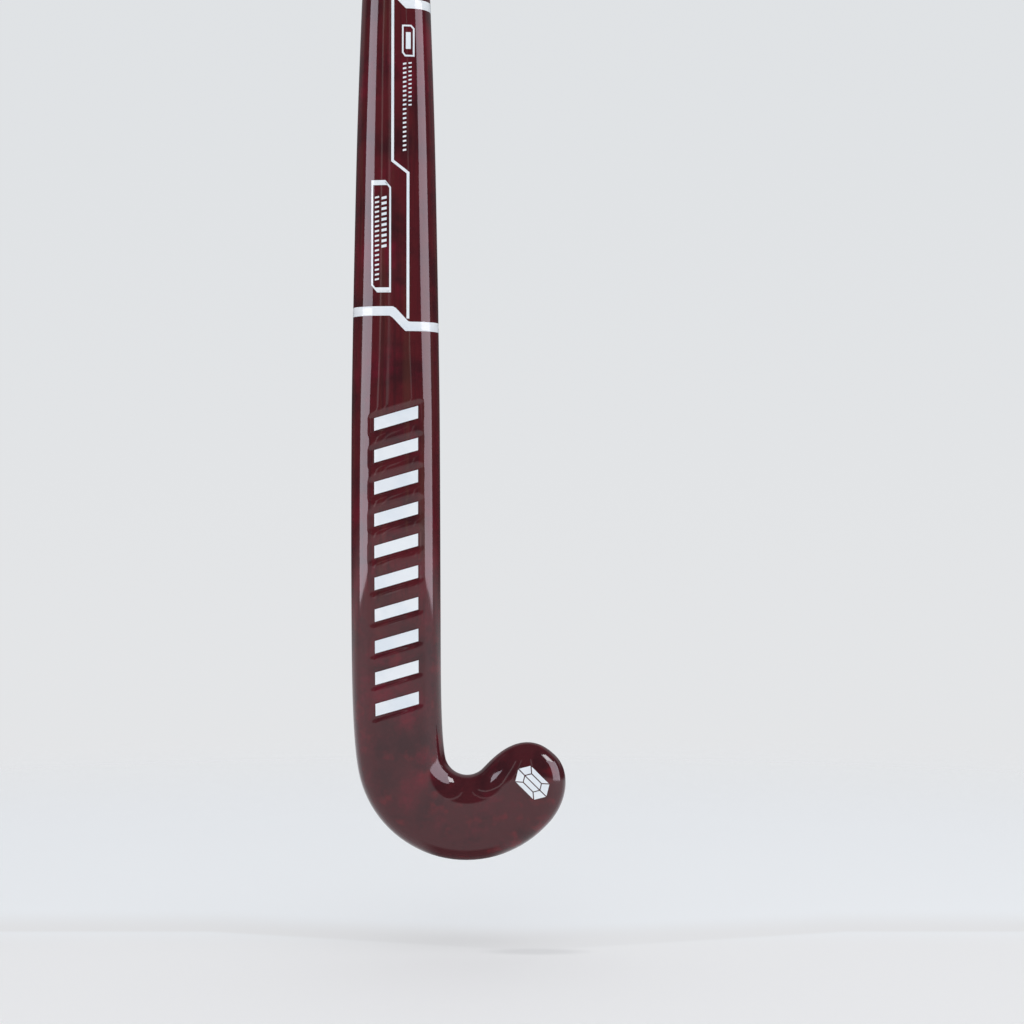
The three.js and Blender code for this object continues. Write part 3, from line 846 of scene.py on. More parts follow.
def wear_group() -> NodeTree:
    """Returns the group for handling marks: hairline scuffs and smears, from 0 to 1."""

    def fill(nodes: Nodes, given: Sequence[Socket]) -> Sequence[Socket]:
        """Adds the group's nodes.

        Args:
            nodes: the group's nodes.
            given: its inputs.

        Returns:
            What goes to its outputs.
        """
        place = nodes.place()
        long = nodes.vector("MULTIPLY", place, (1.0, 1.0, 0.06))
        fine = nodes.times(given["Scale"], 9.0)
        hair = nodes.ease(nodes.noise(long, fine, 4.0, 0.7), 0.62, 0.78)
        smear = nodes.ease(nodes.noise(place, given["Scale"], 3.0), 0.45, 0.75)
        total = nodes.plus(nodes.times(hair, 0.4), nodes.times(smear, 0.6))
        return (nodes.times(total, given["Amount"]),)

    return shader_group("handling_marks", {"Scale": 60.0, "Amount": 1.0}, ("Mask",), fill)


def weave_group() -> NodeTree:
    """Returns the group for a plain weave: a thread mask and a height, both from 0 to 1."""

    def fill(nodes: Nodes, given: Sequence[Socket]) -> Sequence[Socket]:
        """Adds the group's nodes.

        Args:
            nodes: the group's nodes.
            given: its inputs.

        Returns:
            What goes to its outputs.
        """
        x, y, z = nodes.split(nodes.place())
        around = nodes.plus(x, y)
        slants = [nodes.math(way, z, around) for way in ("ADD", "SUBTRACT")]
        turns = [nodes.math("DIVIDE", slant, given["Thread"]) for slant in slants]
        waves = [nodes.math("SINE", nodes.times(t, math.pi)) for t in turns]
        rounds = [nodes.math("ABSOLUTE", wave) for wave in waves]
        odd = [nodes.math("FLOORED_MODULO", nodes.math("FLOOR", t), 2.0) for t in turns]
        over = nodes.math("ABSOLUTE", nodes.minus(*odd))
        height = nodes.add("ShaderNodeMix", {0: over, 2: rounds[0], 3: rounds[1]}).outputs[0]
        return over, height

    return shader_group("plain_weave", {"Thread": 0.002}, ("Over", "Height"), fill)


# ---- Finishes --------------------------------------------------------------------------------------


@dataclass(frozen=True)
class Finish:
    """A finish of one colour; the base of all the others."""

    name: str
    color: Color
    roughness: float = 0.5
    grain: float = 1500.0
    grain_depth: float = 0.00002
    # the scale of the handling marks on a gloss
    marks: float = 40.0

    def scaled(self, factor: float) -> Color:
        """Returns the finish's colour times a factor."""
        return tuple(c * factor for c in self.color)

    def build(self) -> Material:
        """Returns the finish's material, which is made the first time."""
        found = bpy.data.materials.get(self.name)
        if found:
            return found
        material = bpy.data.materials.new(self.name)
        material.use_nodes = True
        material.diffuse_color = (*self.color, 1.0)
        material.node_tree.nodes.clear()
        nodes = Nodes(material.node_tree)
        shader = nodes.add("ShaderNodeBsdfPrincipled", {"Roughness": self.roughness})
        nodes.add("ShaderNodeOutputMaterial", {0: shader.outputs[0]})
        self.dress(nodes, shader)
        return material

    def dress(self, nodes: Nodes, shader: Node) -> None:
        """Adds the pattern's nodes and links them to the shader.

        Args:
            nodes: the material's nodes.
            shader: its Principled shader.
        """
        grain = self.group(nodes, grain_group(), Scale=self.grain)
        color = nodes.mix(grain["Speckle"], self.color, self.scaled(0.8))
        self.feed(nodes, shader, "Base Color", color)
        self.bump(nodes, shader, grain["Height"], self.grain_depth)
        rough = nodes.ease(grain["Height"], 0.3, 0.7, self.roughness * 0.85, self.roughness)
        self.feed(nodes, shader, "Roughness", rough)

    @staticmethod
    def group(nodes: Nodes, tree: NodeTree, **values: float) -> Sequence[Socket]:
        """Places a node group.

        Args:
            nodes: the nodes that it joins.
            tree: the group.
            values: values of its inputs, by name.

        Returns:
            Its outputs.
        """
        node = nodes.add("ShaderNodeGroup", node_tree=tree)
        for key, value in values.items():
            node.inputs[key].default_value = value
        return node.outputs

    @staticmethod
    def feed(nodes: Nodes, shader: Node, socket: str, value: Socket) -> None:
        """Links a pattern to one of the shader's inputs."""
        nodes.tree.links.new(value, shader.inputs[socket])

    def wear(self, nodes: Nodes, shader: Node, amount: float) -> None:
        """Roughens the gloss where it has been handled.

        Args:
            nodes: the material's nodes.
            shader: its Principled shader.
            amount: the most that is added to the roughness.
        """
        marks = self.group(nodes, wear_group(), Scale=self.marks)
        rough = nodes.plus(nodes.times(marks["Mask"], amount), self.roughness)
        self.feed(nodes, shader, "Roughness", rough)

    @staticmethod
    def bump(nodes: Nodes, shader: Node, height: Socket, depth: float) -> None:
        """Feeds a height, at a depth in metres, to the shader's normal."""
        node = nodes.add("ShaderNodeBump", {"Strength": 1.0, "Distance": depth, "Height": height})
        nodes.tree.links.new(node.outputs[0], shader.inputs["Normal"])


@dataclass(frozen=True)
class Lacquer(Finish):
    """Dark stained laminate under a deep gloss.

    The shaft has brown lines along it that are painted reflections, and fine darker lines. The head is
    mottled, with small red flecks.
    """

    head: Color = (0.066, 0.0125, 0.0165)
    cloud: Color = (0.150, 0.009, 0.022)
    # the brown of the painted reflections along the shaft
    streak_reflection: Color = (0.085, 0.030, 0.022)
    shade: Color = (0.032, 0.009, 0.012)
    fleck: Color = (0.210, 0.012, 0.020)
    # heights in metres between which the head's stain turns into the shaft's
    neck: Point = (0.09, 0.17)

    def dress(self, nodes: Nodes, shader: Node) -> None:
        """Adds the stain, the brown lines painted as reflections, the darker lines, the mottling and the
        faint wave of the gloss.

        Args:
            nodes: the material's nodes.
            shader: its Principled shader.
        """
        place = nodes.place()
        on_shaft = nodes.ease(nodes.split(place)[2], *self.neck)
        on_head = nodes.minus(1.0, on_shaft)
        stain = nodes.mix(on_head, self.color, self.head)
        clouds = nodes.ease(nodes.noise(place, 34.0, 5.0, 0.62), 0.50, 0.72)
        depths = nodes.ease(nodes.noise(place, 48.0, 4.0, 0.58), 0.44, 0.70)
        along = nodes.vector("MULTIPLY", place, (1.0, 1.0, 0.03))
        # brown lines along the shaft: painted reflections
        reflection_streaks = nodes.ease(nodes.noise(along, 170.0, 3.0, 0.55), 0.50, 0.68)
        threads = nodes.ease(nodes.noise(along, 420.0, 2.0, 0.5), 0.50, 0.70)
        flecks = nodes.ease(nodes.noise(place, 105.0, 2.0, 0.5), 0.56, 0.74)
        color = nodes.mix(nodes.times(depths, 0.75), stain, self.shade)
        color = nodes.mix(nodes.times(clouds, 0.7), color, self.cloud)
        color = nodes.mix(self.share(nodes, reflection_streaks, on_shaft, 0.5), color, self.streak_reflection)
        color = nodes.mix(self.share(nodes, threads, on_shaft, 0.45), color, self.shade)
        color = nodes.mix(self.share(nodes, flecks, on_head, 0.32), color, self.fleck)
        self.feed(nodes, shader, "Base Color", color)
        self.wear(nodes, shader, 0.05)
        wave = nodes.noise(nodes.vector("MULTIPLY", place, (1.0, 1.0, 0.45)), 60.0, 2.0, 0.4)
        self.bump(nodes, shader, wave, self.grain_depth)

    @staticmethod
    def share(nodes: Nodes, pattern: object, zone: object, amount: float) -> Socket:
        """Returns a pattern kept to one zone, at an amount."""
        return nodes.times(nodes.times(pattern, zone), amount)


@dataclass(frozen=True)
class Print(Finish):
    """White print under the gloss, a little cooler in patches."""

    # factors of the colour in the patches
    cool: Color = (0.9, 0.93, 0.96)

    def dress(self, nodes: Nodes, shader: Node) -> None:
        """Adds the print's faint unevenness and the gloss's marks.

        Args:
            nodes: the material's nodes.
            shader: its Principled shader.
        """
        grain = self.group(nodes, grain_group(), Scale=self.grain)
        cool = tuple(c * k for c, k in zip(self.color, self.cool))
        patches = nodes.ease(nodes.noise(nodes.place(), 45.0, 3.0), 0.4, 0.7)
        color = nodes.mix(patches, self.color, cool)
        color = nodes.mix(nodes.times(grain["Speckle"], 0.25), color, cool)
        self.feed(nodes, shader, "Base Color", color)
        self.wear(nodes, shader, 0.08)
        self.bump(nodes, shader, grain["Height"], self.grain_depth)


@dataclass(frozen=True)
class Grit(Finish):
    """Matt rough coat: grey grains over the stain, thinner and redder towards the toe."""

    red: Color = (0.110, 0.022, 0.028)
    dark: Color = (0.022, 0.017, 0.018)
    pale: Color = (0.17, 0.145, 0.145)
    # how much of the red shows at the stick's middle line, and how much more at the toe
    redness: Point = (0.45, 0.5)
    toe_from: Point = (0.0, 0.055)

    def dress(self, nodes: Nodes, shader: Node) -> None:
        """Adds the grains, their bump and the redder clouds.

        Args:
            nodes: the material's nodes.
            shader: its Principled shader.
        """
        place = nodes.place()
        grain = self.group(nodes, grain_group(), Scale=self.grain)
        clouds = nodes.ease(nodes.noise(place, 30.0, 4.0, 0.6), 0.44, 0.64)
        least, more = self.redness
        reach = nodes.ease(nodes.split(place)[0], *self.toe_from)
        thin = nodes.times(nodes.math("MULTIPLY_ADD", reach, more, least), clouds)
        color = nodes.mix(thin, self.color, self.red)
        patches = nodes.ease(nodes.noise(place, 70.0, 3.0), 0.42, 0.70)
        color = nodes.mix(nodes.times(patches, 0.5), color, self.dark)
        grits = nodes.ease(nodes.noise(place, 900.0, 2.0, 0.7), 0.48, 0.66)
        color = nodes.mix(nodes.times(grits, 0.45), color, self.pale)
        color = nodes.mix(nodes.times(grain["Speckle"], 0.4), color, self.pale)
        self.feed(nodes, shader, "Base Color", color)
        rough = nodes.ease(grain["Height"], 0.35, 0.65, self.roughness, self.roughness * 0.75)
        self.feed(nodes, shader, "Roughness", rough)
        self.bump(nodes, shader, grain["Height"], self.grain_depth)


@dataclass(frozen=True)
class Woven(Finish):
    """Woven fibre set in resin."""

    # a thread's width in metres, and the factor of the colour on threads that run the other way
    thread: float = 0.002
    other: float = 0.62

    def dress(self, nodes: Nodes, shader: Node) -> None:
        """Adds the weave's two thread directions and their rounding.

        Args:
            nodes: the material's nodes.
            shader: its Principled shader.
        """
        weave = self.group(nodes, weave_group(), Thread=self.thread)
        color = nodes.mix(weave["Over"], self.color, self.scaled(self.other))
        self.feed(nodes, shader, "Base Color", color)
        rough = nodes.ease(weave["Height"], 0.0, 1.0, self.roughness * 1.3, self.roughness)
        self.feed(nodes, shader, "Roughness", rough)
        self.bump(nodes, shader, weave["Height"], self.grain_depth)


@dataclass(frozen=True)
class Floor(Finish):
    """Pale studio floor with painted light and shade on it, fading out at its rim.

    It is painted brighter at the rear, and has a faint painted fold shade bent over a soft painted
    shadow. Under the head it is painted dark for glossy rays only: painted shade for the stick's
    gloss to reflect. Lengths are in metres.
    """

    # factors of the colour: the painted brighter light behind the stick, the painted shade that only
    # the gloss sees under the head, the painted fold shade and the painted shadow
    rear: Color = (1.025, 1.050, 1.070)
    shaded: float = 0.2
    crease_shade: float = 0.965
    painted_shadow: float = 0.87
    # the most that any part of the painted brighter light at the rear can be, and the stretch over which
    # it comes in
    palest: float = 0.95
    painted_light_from: Point = (0.02, 0.12)
    # the painted fold shade bends at this place, and slopes back on each side up to this reach
    bend: Point = (0.040, 0.019)
    slope: float = 0.33
    reach: float = 0.19
    # stretches over which the painted fold shade darkens and then fades, from front to rear
    crease_shade_front: Point = (-0.010, 0.0)
    crease_shade_rear: Point = (0.0, 0.08)
    # the painted shadow is an oval round this place, and fades between these two scaled distances from it
    painted_shadow_centre: tuple[float, float, float] = (0.044, 0.011, 0.0)
    painted_shadow_scale: tuple[float, float, float] = (29.0, 80.0, 0.0)
    painted_shadow_edge: Point = (0.3, 1.1)
    # stretches over which the painted shade that the gloss sees under the head ends at each side, and
    # starts at the front
    gloss_shade_side: Point = (0.022, 0.05)
    gloss_shade_front: Point = (-0.035, -0.012)
    # distances from the middle over which the rim fades out
    rim: Point = (0.6, 1.35)

    def dress(self, nodes: Nodes, shader: Node) -> None:
        """Adds the painted fold shade, the painted shadow, the painted brighter light at the rear, the
        painted shade under the head for glossy rays, and the fading rim.

        Args:
            nodes: the material's nodes.
            shader: its Principled shader.
        """
        place = nodes.place()
        x, y, _ = nodes.split(place)
        # painted brighter light towards the rear
        rear = tuple(min(self.palest, c * k) for c, k in zip(self.color, self.rear))
        color = nodes.mix(nodes.ease(y, *self.painted_light_from), self.color, rear)
        # painted shade along a fold in the floor
        side = nodes.math("ABSOLUTE", nodes.minus(x, self.bend[0]))
        side = nodes.math("MINIMUM", side, self.reach)
        past = nodes.minus(y, nodes.math("MULTIPLY_ADD", side, self.slope, self.bend[1]))
        fading = nodes.ease(past, *self.crease_shade_rear, 1.0, 0.0)
        crease_shade = nodes.math("MINIMUM", fading, nodes.ease(past, *self.crease_shade_front))
        color = nodes.mix(crease_shade, color, self.scaled(self.crease_shade))
        # painted soft shadow on the floor
        away = nodes.vector("SUBTRACT", place, self.painted_shadow_centre)
        away = nodes.length(nodes.vector("MULTIPLY", away, self.painted_shadow_scale))
        color = nodes.mix(nodes.ease(away, *self.painted_shadow_edge, 1.0, 0.0), color, self.scaled(self.painted_shadow))
        # painted shade under the head, seen only by glossy rays: a painted dark reflection
        gloss_shade = nodes.ease(nodes.math("ABSOLUTE", x), *self.gloss_shade_side, 1.0, 0.0)
        gloss_shade = nodes.times(gloss_shade, nodes.ease(y, *self.gloss_shade_front))
        glossy = nodes.add("ShaderNodeLightPath").outputs["Is Glossy Ray"]
        dim = nodes.times(glossy, gloss_shade)
        self.feed(nodes, shader, "Base Color", nodes.mix(dim, color, self.scaled(self.shaded)))
        self.feed(nodes, shader, "Alpha", nodes.ease(nodes.length(place), *self.rim, 1.0, 0.0))


LACQUER = Lacquer("maroon_lacquer", (0.086, 0.0112, 0.0152), 0.055, grain_depth=0.00006)
PRINT = Print("white_print", (0.84, 0.875, 0.91), 0.09, 900.0, 0.000002)
GRIT = Grit("rough_face_coat", (0.058, 0.040, 0.042), 0.72, 2600.0, 0.00022)
GRIP = Finish("black_grip_skin", (0.016, 0.017, 0.019), 0.62, 1300.0, 0.00006)
# painted shade: near-black discs that stand for the shade in the grip's perforations
HOLE_SHADE = Finish("grip_hole_shadow", (0.004, 0.004, 0.005), 0.9, 900.0, 0.00001)
VINYL = Finish("black_vinyl_tape", (0.012, 0.013, 0.015), 0.28, 500.0, 0.00001)
RUBBER = Finish("black_cap_rubber", (0.014, 0.015, 0.017), 0.55, 1700.0, 0.00003)
CARBON = Woven("bare_carbon_weave", (0.022, 0.023, 0.026), 0.3, grain_depth=0.0001, thread=0.003)
ARAMID = Woven("woven_aramid_ply", (0.52, 0.36, 0.06), 0.6, grain_depth=0.0001, thread=0.002)
FOAM = Finish("core_foam", (0.62, 0.50, 0.30), 0.95, 420.0, 0.0004)
FILM = Finish("nylon_film", (0.72, 0.75, 0.72), 0.35, 120.0, 0.0002)
CUSHION = Finish("cushion_strip", (0.045, 0.046, 0.05), 0.95, 700.0, 0.0003)
FLOOR = Floor("studio_floor", (0.892, 0.889, 0.884), 0.7)


# ---- The stick's sub-assemblies --------------------------------------------------------------------


@dataclass
class Bars:
    """A row of slanted bars, in millimetres."""

    count: int
    first: float
    pitch: float
    left: float
    right: float
    thick: float
    rise: float

    def slope(self) -> float:
        """Returns the bars' rise for each millimetre across."""
        return self.rise / (self.right - self.left)

    def polygon(self) -> list[Point]:
        """Returns the first bar's outline."""
        low, high = -(self.thick + self.rise) / 2, (self.thick - self.rise) / 2
        return [
            (self.left, self.first + low),
            (self.right, self.first + low + self.rise),
            (self.right, self.first + high + self.rise),
            (self.left, self.first + high),
        ]


@dataclass
class Shell:
    """The hollow lacquered shell, with a soft recess round each sunk bar. Sizes are in millimetres."""

    form: StickForm
    bars: Bars
    wall: float = 2.8
    top: float = 915.0
    recess: float = 1.0
    slope_width: float = 3.2
    floor_margin: float = 0.5
    half: float = 25.2
    # the rings' pitch on the head, below the bars, above them, and near the handle
    pitches: tuple[float, ...] = (2.5, 3.0, 4.0, 9.0)
    # heights where the shaft's rings start and where they turn coarse
    shaft_from: Point = (74.0, 520.0)
    # the evenly spaced rings keep this far from the first and last bar
    clear: float = 9.0
    # the rings start to lean with the bars this far below them, over this length, and stand
    # upright again over this length, with no more lean past this distance from the middle
    lean_from: float = 34.0
    lean_in: float = 18.0
    lean_out: float = 24.0
    lean_reach: float = 24.0
    # share of the half width past which the skin is never sunk
    rim: float = 0.9

    def columns(self) -> tuple[list[float], list[float]]:
        """Returns the places of the rings' points across the face and across the back."""
        side = [math.cos(t) for t in np.linspace(0.0, 0.805, 8)]
        half = side + [0.6, 0.5, 0.4, 0.3, 0.2, 0.1, 0.0]
        face = [-a for a in half] + [a for a in reversed(half) if a > 0][:-1]
        left, right = self.bars.left / self.half, self.bars.right / self.half
        slope = np.linspace(self.floor_margin - 0.35, self.slope_width + self.floor_margin, 7) / self.half
        cuts = [place + way * s for place, way in ((left, -1), (right, 1)) for s in slope]
        inside = list(np.linspace(left + 0.05, right - 0.05, 13))
        outer = [a for h in side for a in (h, -h)]
        back = sorted(set(cuts + inside + outer + [0.66, -0.62]), reverse=True)
        return face, [b for b in back if b > -1.0]

    def rows(self) -> np.ndarray:
        """Returns the distances of the rings, finer at the toe and along each bar's edges."""
        form, bars = self.form, self.bars
        on_head, on_shaft, above_bars, near_handle = self.pitches
        first, coarse = self.shaft_from
        tip = [form.toe_round * (1 - math.cos(t)) for t in np.linspace(0.02, math.pi / 2, 22)]
        head = list(np.arange(form.toe_round + on_head, form.at_height(first - 4.0), on_head))
        reach = bars.thick / 2 + self.floor_margin
        spans = np.linspace(-0.2, self.slope_width, 7)
        shaft = list(np.arange(first, bars.first - self.clear, on_shaft))
        for i in range(bars.count):
            z = bars.first + i * bars.pitch
            shaft += [z, z - reach * 0.5, z + reach * 0.5]
            shaft += [z + way * (reach + s) for s in spans for way in (-1, 1)]
        above = bars.first + (bars.count - 1) * bars.pitch + self.clear
        shaft += [*np.arange(above, coarse, above_bars), *np.arange(coarse, self.top, near_handle), self.top]
        return np.array(tip + head + sorted(form.at_height(z) for z in shaft))

    def sunk(self, lateral: np.ndarray, height: np.ndarray) -> np.ndarray:
        """Returns the recess's depth at places on the back.

        Args:
            lateral: distances across, from the middle line.
            height: heights, each measured where its ring is upright.

        Returns:
            The depth at each place.
        """
        bars, reach, width = self.bars, self.floor_margin, self.slope_width
        nearest = np.clip(np.round((height - bars.first) / bars.pitch), 0, bars.count - 1)
        away = np.abs(height - bars.first - nearest * bars.pitch) - bars.thick / 2 - reach
        beside = np.maximum(bars.left - lateral, lateral - bars.right) - reach
        distance = np.hypot(np.maximum(away, 0), np.maximum(beside, 0))
        return self.recess * (1 - smooth(distance / width))

    def points(self, offset: float, rows: np.ndarray, sunk: bool) -> np.ndarray:
        """Returns the shell's rings.

        Args:
            offset: how far they are moved out.
            rows: their distances from the toe tip.
            sunk: whether they follow the recesses.

        Returns:
            An array of rings by points by 3, in metres.
        """
        face, back = self.columns()
        across = np.array(face + back)
        n = len(face)
        form, bars = self.form, self.bars
        heights = rows - form.head_length + form.neck_top
        share = smooth((heights - bars.first + self.lean_from) / self.lean_in)
        share *= 1 - smooth((heights - bars.first - bars.pitch * bars.count) / self.lean_out)
        half = form.size(rows, 1)[:, None]
        lateral = across[None] * half
        middle = (bars.left + bars.right) / 2
        beside = np.clip(lateral - middle, -self.lean_reach, self.lean_reach)
        shear = share[:, None] * bars.slope() * beside
        distance = rows[:, None] + shear
        lift = np.full(distance.shape, offset)
        if sunk:
            depth = self.sunk(lateral[:, n:], np.broadcast_to(heights[:, None], lateral[:, n:].shape))
            lift[:, n:] -= depth
        rings = form.ring(distance, face, back, lift)
        if sunk:
            plain = form.ring(distance, face, back, offset)
            keep = np.abs(across) > self.rim
            rings[:, keep] = plain[:, keep]
        return rings

    def build(self) -> Piece:
        """Returns the shell, closed over its toe and open at the butt."""
        outer = self.points(0.0, self.rows(), True)
        inner_rows = self.rows()[::3]
        inner_rows = np.append(inner_rows[inner_rows > self.wall + 1.0], self.form.at_height(self.top))
        inner = self.points(-self.wall, np.unique(inner_rows), False)[::-1]
        shell = ring_piece("lacquered_shell", np.concatenate([outer, inner]), LACQUER.build(), sharp=60.0)
        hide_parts("outer_laminate")
        return shell


@dataclass
class Graphics:
    """The white print and the sunk bars, each pressed onto the shell."""

    form: StickForm
    shell: Piece
    sunk_bars: Bars
    face_bars: Bars
    press: Recipe = field(default_factory=press_on_recipe)
    # the bands: their thickness, how far they step down, over which width, and from which places
    band_thick: float = 5.2
    toe_drop: float = 8.6
    drop_width: float = 8.0
    drop_from: Point = (-2.0, -0.1)
    # how far a band's corners are rounded, and how far it stands out across its thickness
    band_round: float = 0.04
    band_lifts: tuple[float, ...] = (-0.15, 0.03, 0.05, 0.05, 0.05, 0.05, 0.03, -0.15)
    line: float = 1.5
    # shares of a gem: its cut corners, and its table
    gem_cut: float = 0.3
    gem_table: float = 0.52
    ticks: dict[str, Bars] = field(
        default_factory=lambda: {
            "ticks_frame_heel": Bars(18, 328.8, 2.7, -10.9, -8.6, 1.0, 0.5),
            "ticks_frame_toe": Bars(10, 347.4, 3.0, -7.2, -4.4, 1.5, 0.6),
            "ticks_shaft_heel": Bars(20, 401.2, 2.55, 4.6, 6.5, 1.0, 0.4),
            "ticks_shaft_toe": Bars(11, 426.6, 2.35, 7.7, 9.4, 0.8, 0.3),
        }
    )

    @staticmethod
    def dress(piece: Piece, *nodes: str) -> Piece:
        """Hides the solids that a printed piece stands for.

        Args:
            piece: the printed piece.
            nodes: the solids' nodes.

        Returns:
            The same piece.
        """
        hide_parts(*nodes)
        return piece

    def pressed(
        self,
        name: str,
        side: Side,
        polygons: Sequence[Sequence[Point]],
        nodes: Sequence[str],
        **values: object,
    ) -> Piece:
        """Presses flat outlines onto one side of the shell.

        Args:
            name: the piece's name.
            side: the side that they go on.
            polygons: outlines of x and z, in millimetres.
            nodes: the solids that the piece stands for.
            values: other inputs of the pressing tree.

        Returns:
            The piece.
        """
        sheet = flat_sheet(self.form, polygons)
        inputs = {"surface": self.shell, "toward": float(side.value), **values}
        piece = self.press.run(name, sheet, PRINT.build(), **inputs)
        return self.dress(piece, *nodes)

    def band(self, name: str, height: float, face: Sequence[float], back: Sequence[float]) -> Piece:
        """Builds a band round the shaft that steps down towards the toe.

        Args:
            name: its node's name.
            height: its middle, on the heel's side.
            face: places across the face.
            back: places across the back.

        Returns:
            The piece.
        """
        form = self.form
        across = np.array(list(face) + list(back))
        half = float(form.size(np.array([form.at_height(height)]), 1)[0])
        x = across * half
        loops = []
        for edge, corner in zip((-0.5, 0.5), self.drop_from):
            drop = np.clip((x - corner) / self.drop_width, 0, 1) * self.toe_drop
            loops.append(height + edge * self.band_thick - drop)
        low, high = (form.at_height(z) for z in loops)
        distance = np.array([low, low, low, (low * 2 + high) / 3, (low + high * 2) / 3, high, high, high])
        distance[2] += self.band_round
        distance[5] -= self.band_round
        rings = form.ring(distance, face, back, np.array(self.band_lifts))
        piece = ring_piece(name.replace("band", "printed_band"), rings, PRINT.build(), wrap=True)
        return self.dress(piece, name)

    def gem(self, centre: Point, length: float, width: float, turn: float, gap: float) -> list[list[Point]]:
        """Returns the facets of a long six-sided gem.

        Args:
            centre: its middle.
            length: its length, upright before it is turned.
            width: its width.
            turn: its turn, in radians.
            gap: the gap between facets.

        Returns:
            One outline for each facet.
        """
        cut = width * self.gem_cut

        def rim(share: float) -> list[Vector]:
            """Returns the six corners at a share of the full size."""
            a, b = length / 2 * share, width / 2 * share
            c = a - cut * share
            return [Vector(p) for p in ((0, a), (-b, c), (-b, -c), (0, -a), (b, -c), (b, c))]

        outer, inner = rim(1.0), rim(self.gem_table)
        facets = [[outer[i], outer[(i + 1) % 6], inner[(i + 1) % 6], inner[i]] for i in range(6)]
        facets += [[inner[0], inner[1], inner[2], inner[3]], [inner[3], inner[4], inner[5], inner[0]]]
        c, s = math.cos(turn), math.sin(turn)
        result = []
        for facet in facets:
            shrunk = []
            for i, corner in enumerate(facet):
                before, after = facet[i - 1], facet[(i + 1) % len(facet)]
                into, out = (corner - before).normalized(), (after - corner).normalized()
                inward = Vector((-into.y, into.x)) + Vector((-out.y, out.x))
                inward /= max(0.2, 1 + into.dot(out))
                shrunk.append(corner + inward * gap / 2)
            result.append([(centre[0] + p.x * c - p.y * s, centre[1] + p.x * s + p.y * c) for p in shrunk])
        return result

    def build(self, face: Sequence[float], back: Sequence[float]) -> list[Piece]:
        """Builds every printed piece.

        Args:
            face: places across the face for the bands.
            back: places across the back for the bands.

        Returns:
            The pieces.
        """
        sunk, flat = self.sunk_bars, self.face_bars
        inlays = [f"back_inlay_{i + 1}" for i in range(sunk.count)]
        marks = [f"face_bar_{i + 1}" for i in range(flat.count)]
        pieces = [
            self.pressed(
                "sunk_bars", Side.BACK, [sunk.polygon()], inlays,
                count=sunk.count, pitch=sunk.pitch * MM, lift=0.00025, depth=0.0006,
            ),
            self.pressed(
                "printed_face_bars", Side.FACE, [flat.polygon()], marks,
                count=flat.count, pitch=flat.pitch * MM,
            ),
        ]
        for name, height in (("band_lower", 311.1), ("band_upper", 492.1)):
            pieces.append(self.band(name, height, face, back))
        back_line = [(7.5, 306.8), (7.5, 388.4), (-1.1, 395.2), (-1.1, 487.2)]
        face_line = [(4.5, 309.9), (4.5, 388.4), (-2.5, 395.2), (-2.5, 488.7)]
        for name, side, corners in (("back_line", Side.BACK, back_line), ("face_line", Side.FACE, face_line)):
            pieces.append(self.pressed("printed_" + name, side, line_quads(corners, self.line), [name]))
        pieces += [self.large_frame(), self.small_frame(), *self.tick_rows(), self.head_line()]
        gem = self.gem((1, 256.2), 66, 31, 0.0, 0.9)
        pieces.append(self.pressed("printed_face_emblem", Side.FACE, gem, ["face_emblem"]))
        gem = self.gem((77.1, 45.5), 23, 13, math.pi / 4, 0.6)
        pieces.append(self.pressed("printed_toe_emblem", Side.BACK, gem, ["toe_emblem"]))
        return pieces

    def large_frame(self) -> Piece:
        """Builds the tall frame with two cut corners and heavy ends."""
        corners = [(-9.4, 321.9), (-2.4, 321.9), (-2.4, 380.1), (-5.3, 383.8), (-12.4, 383.8), (-12.4, 325.6)]
        shapes = line_quads(corners, 0.95, closed=True)
        shapes.append([(-9.6, 321.9), (-2.6, 321.9), (-2.6, 324.2), (-11.6, 324.2)])
        shapes.append([(-12.2, 381.5), (-3.3, 381.5), (-4.9, 383.38), (-12.2, 383.38)])
        return self.pressed("printed_large_frame", Side.BACK, shapes, ["back_frame_large"])

    def small_frame(self) -> Piece:
        """Builds the small frame and the bar inside it."""
        corners = [(5.9, 454.2), (10.5, 454.2), (10.5, 469.4), (9.0, 471.1), (4.5, 471.1), (4.5, 456.1)]
        shapes = line_quads(corners, 0.9, closed=True)
        shapes.append([(6.2, 458.0), (8.9, 458.0), (8.9, 467.4), (6.2, 467.4)])
        return self.pressed("printed_small_frame", Side.BACK, shapes, ["back_frame_small"])

    def tick_rows(self) -> list[Piece]:
        """Builds the rows of short ticks inside the large frame and below the small one."""
        pieces = []
        for name, row in self.ticks.items():
            node = "back_frame_large" if "frame" in name else "back_frame_small"
            values = {"count": row.count, "pitch": row.pitch * MM}
            pieces.append(self.pressed(name, Side.BACK, [row.polygon()], [node], **values))
        return pieces

    def head_line(self) -> Piece:
        """Builds the line above the rough coat, with the thin line and stepped top that rise from it."""
        shapes = line_quads([(24.4, 103.9), (9.7, 103.9), (-1.1, 112.6), (-24.4, 112.6)], 1.4)
        shapes += line_quads([(-1.7, 113.2), (-1.7, 195.6)], 1.2)
        shapes += line_quads([(4.2, 195.5), (-1.4, 195.5), (-3.3, 197.2), (-7.6, 197.2)], 1.2)
        return self.pressed("printed_head_line", Side.FACE, shapes, ["face_head_line"])


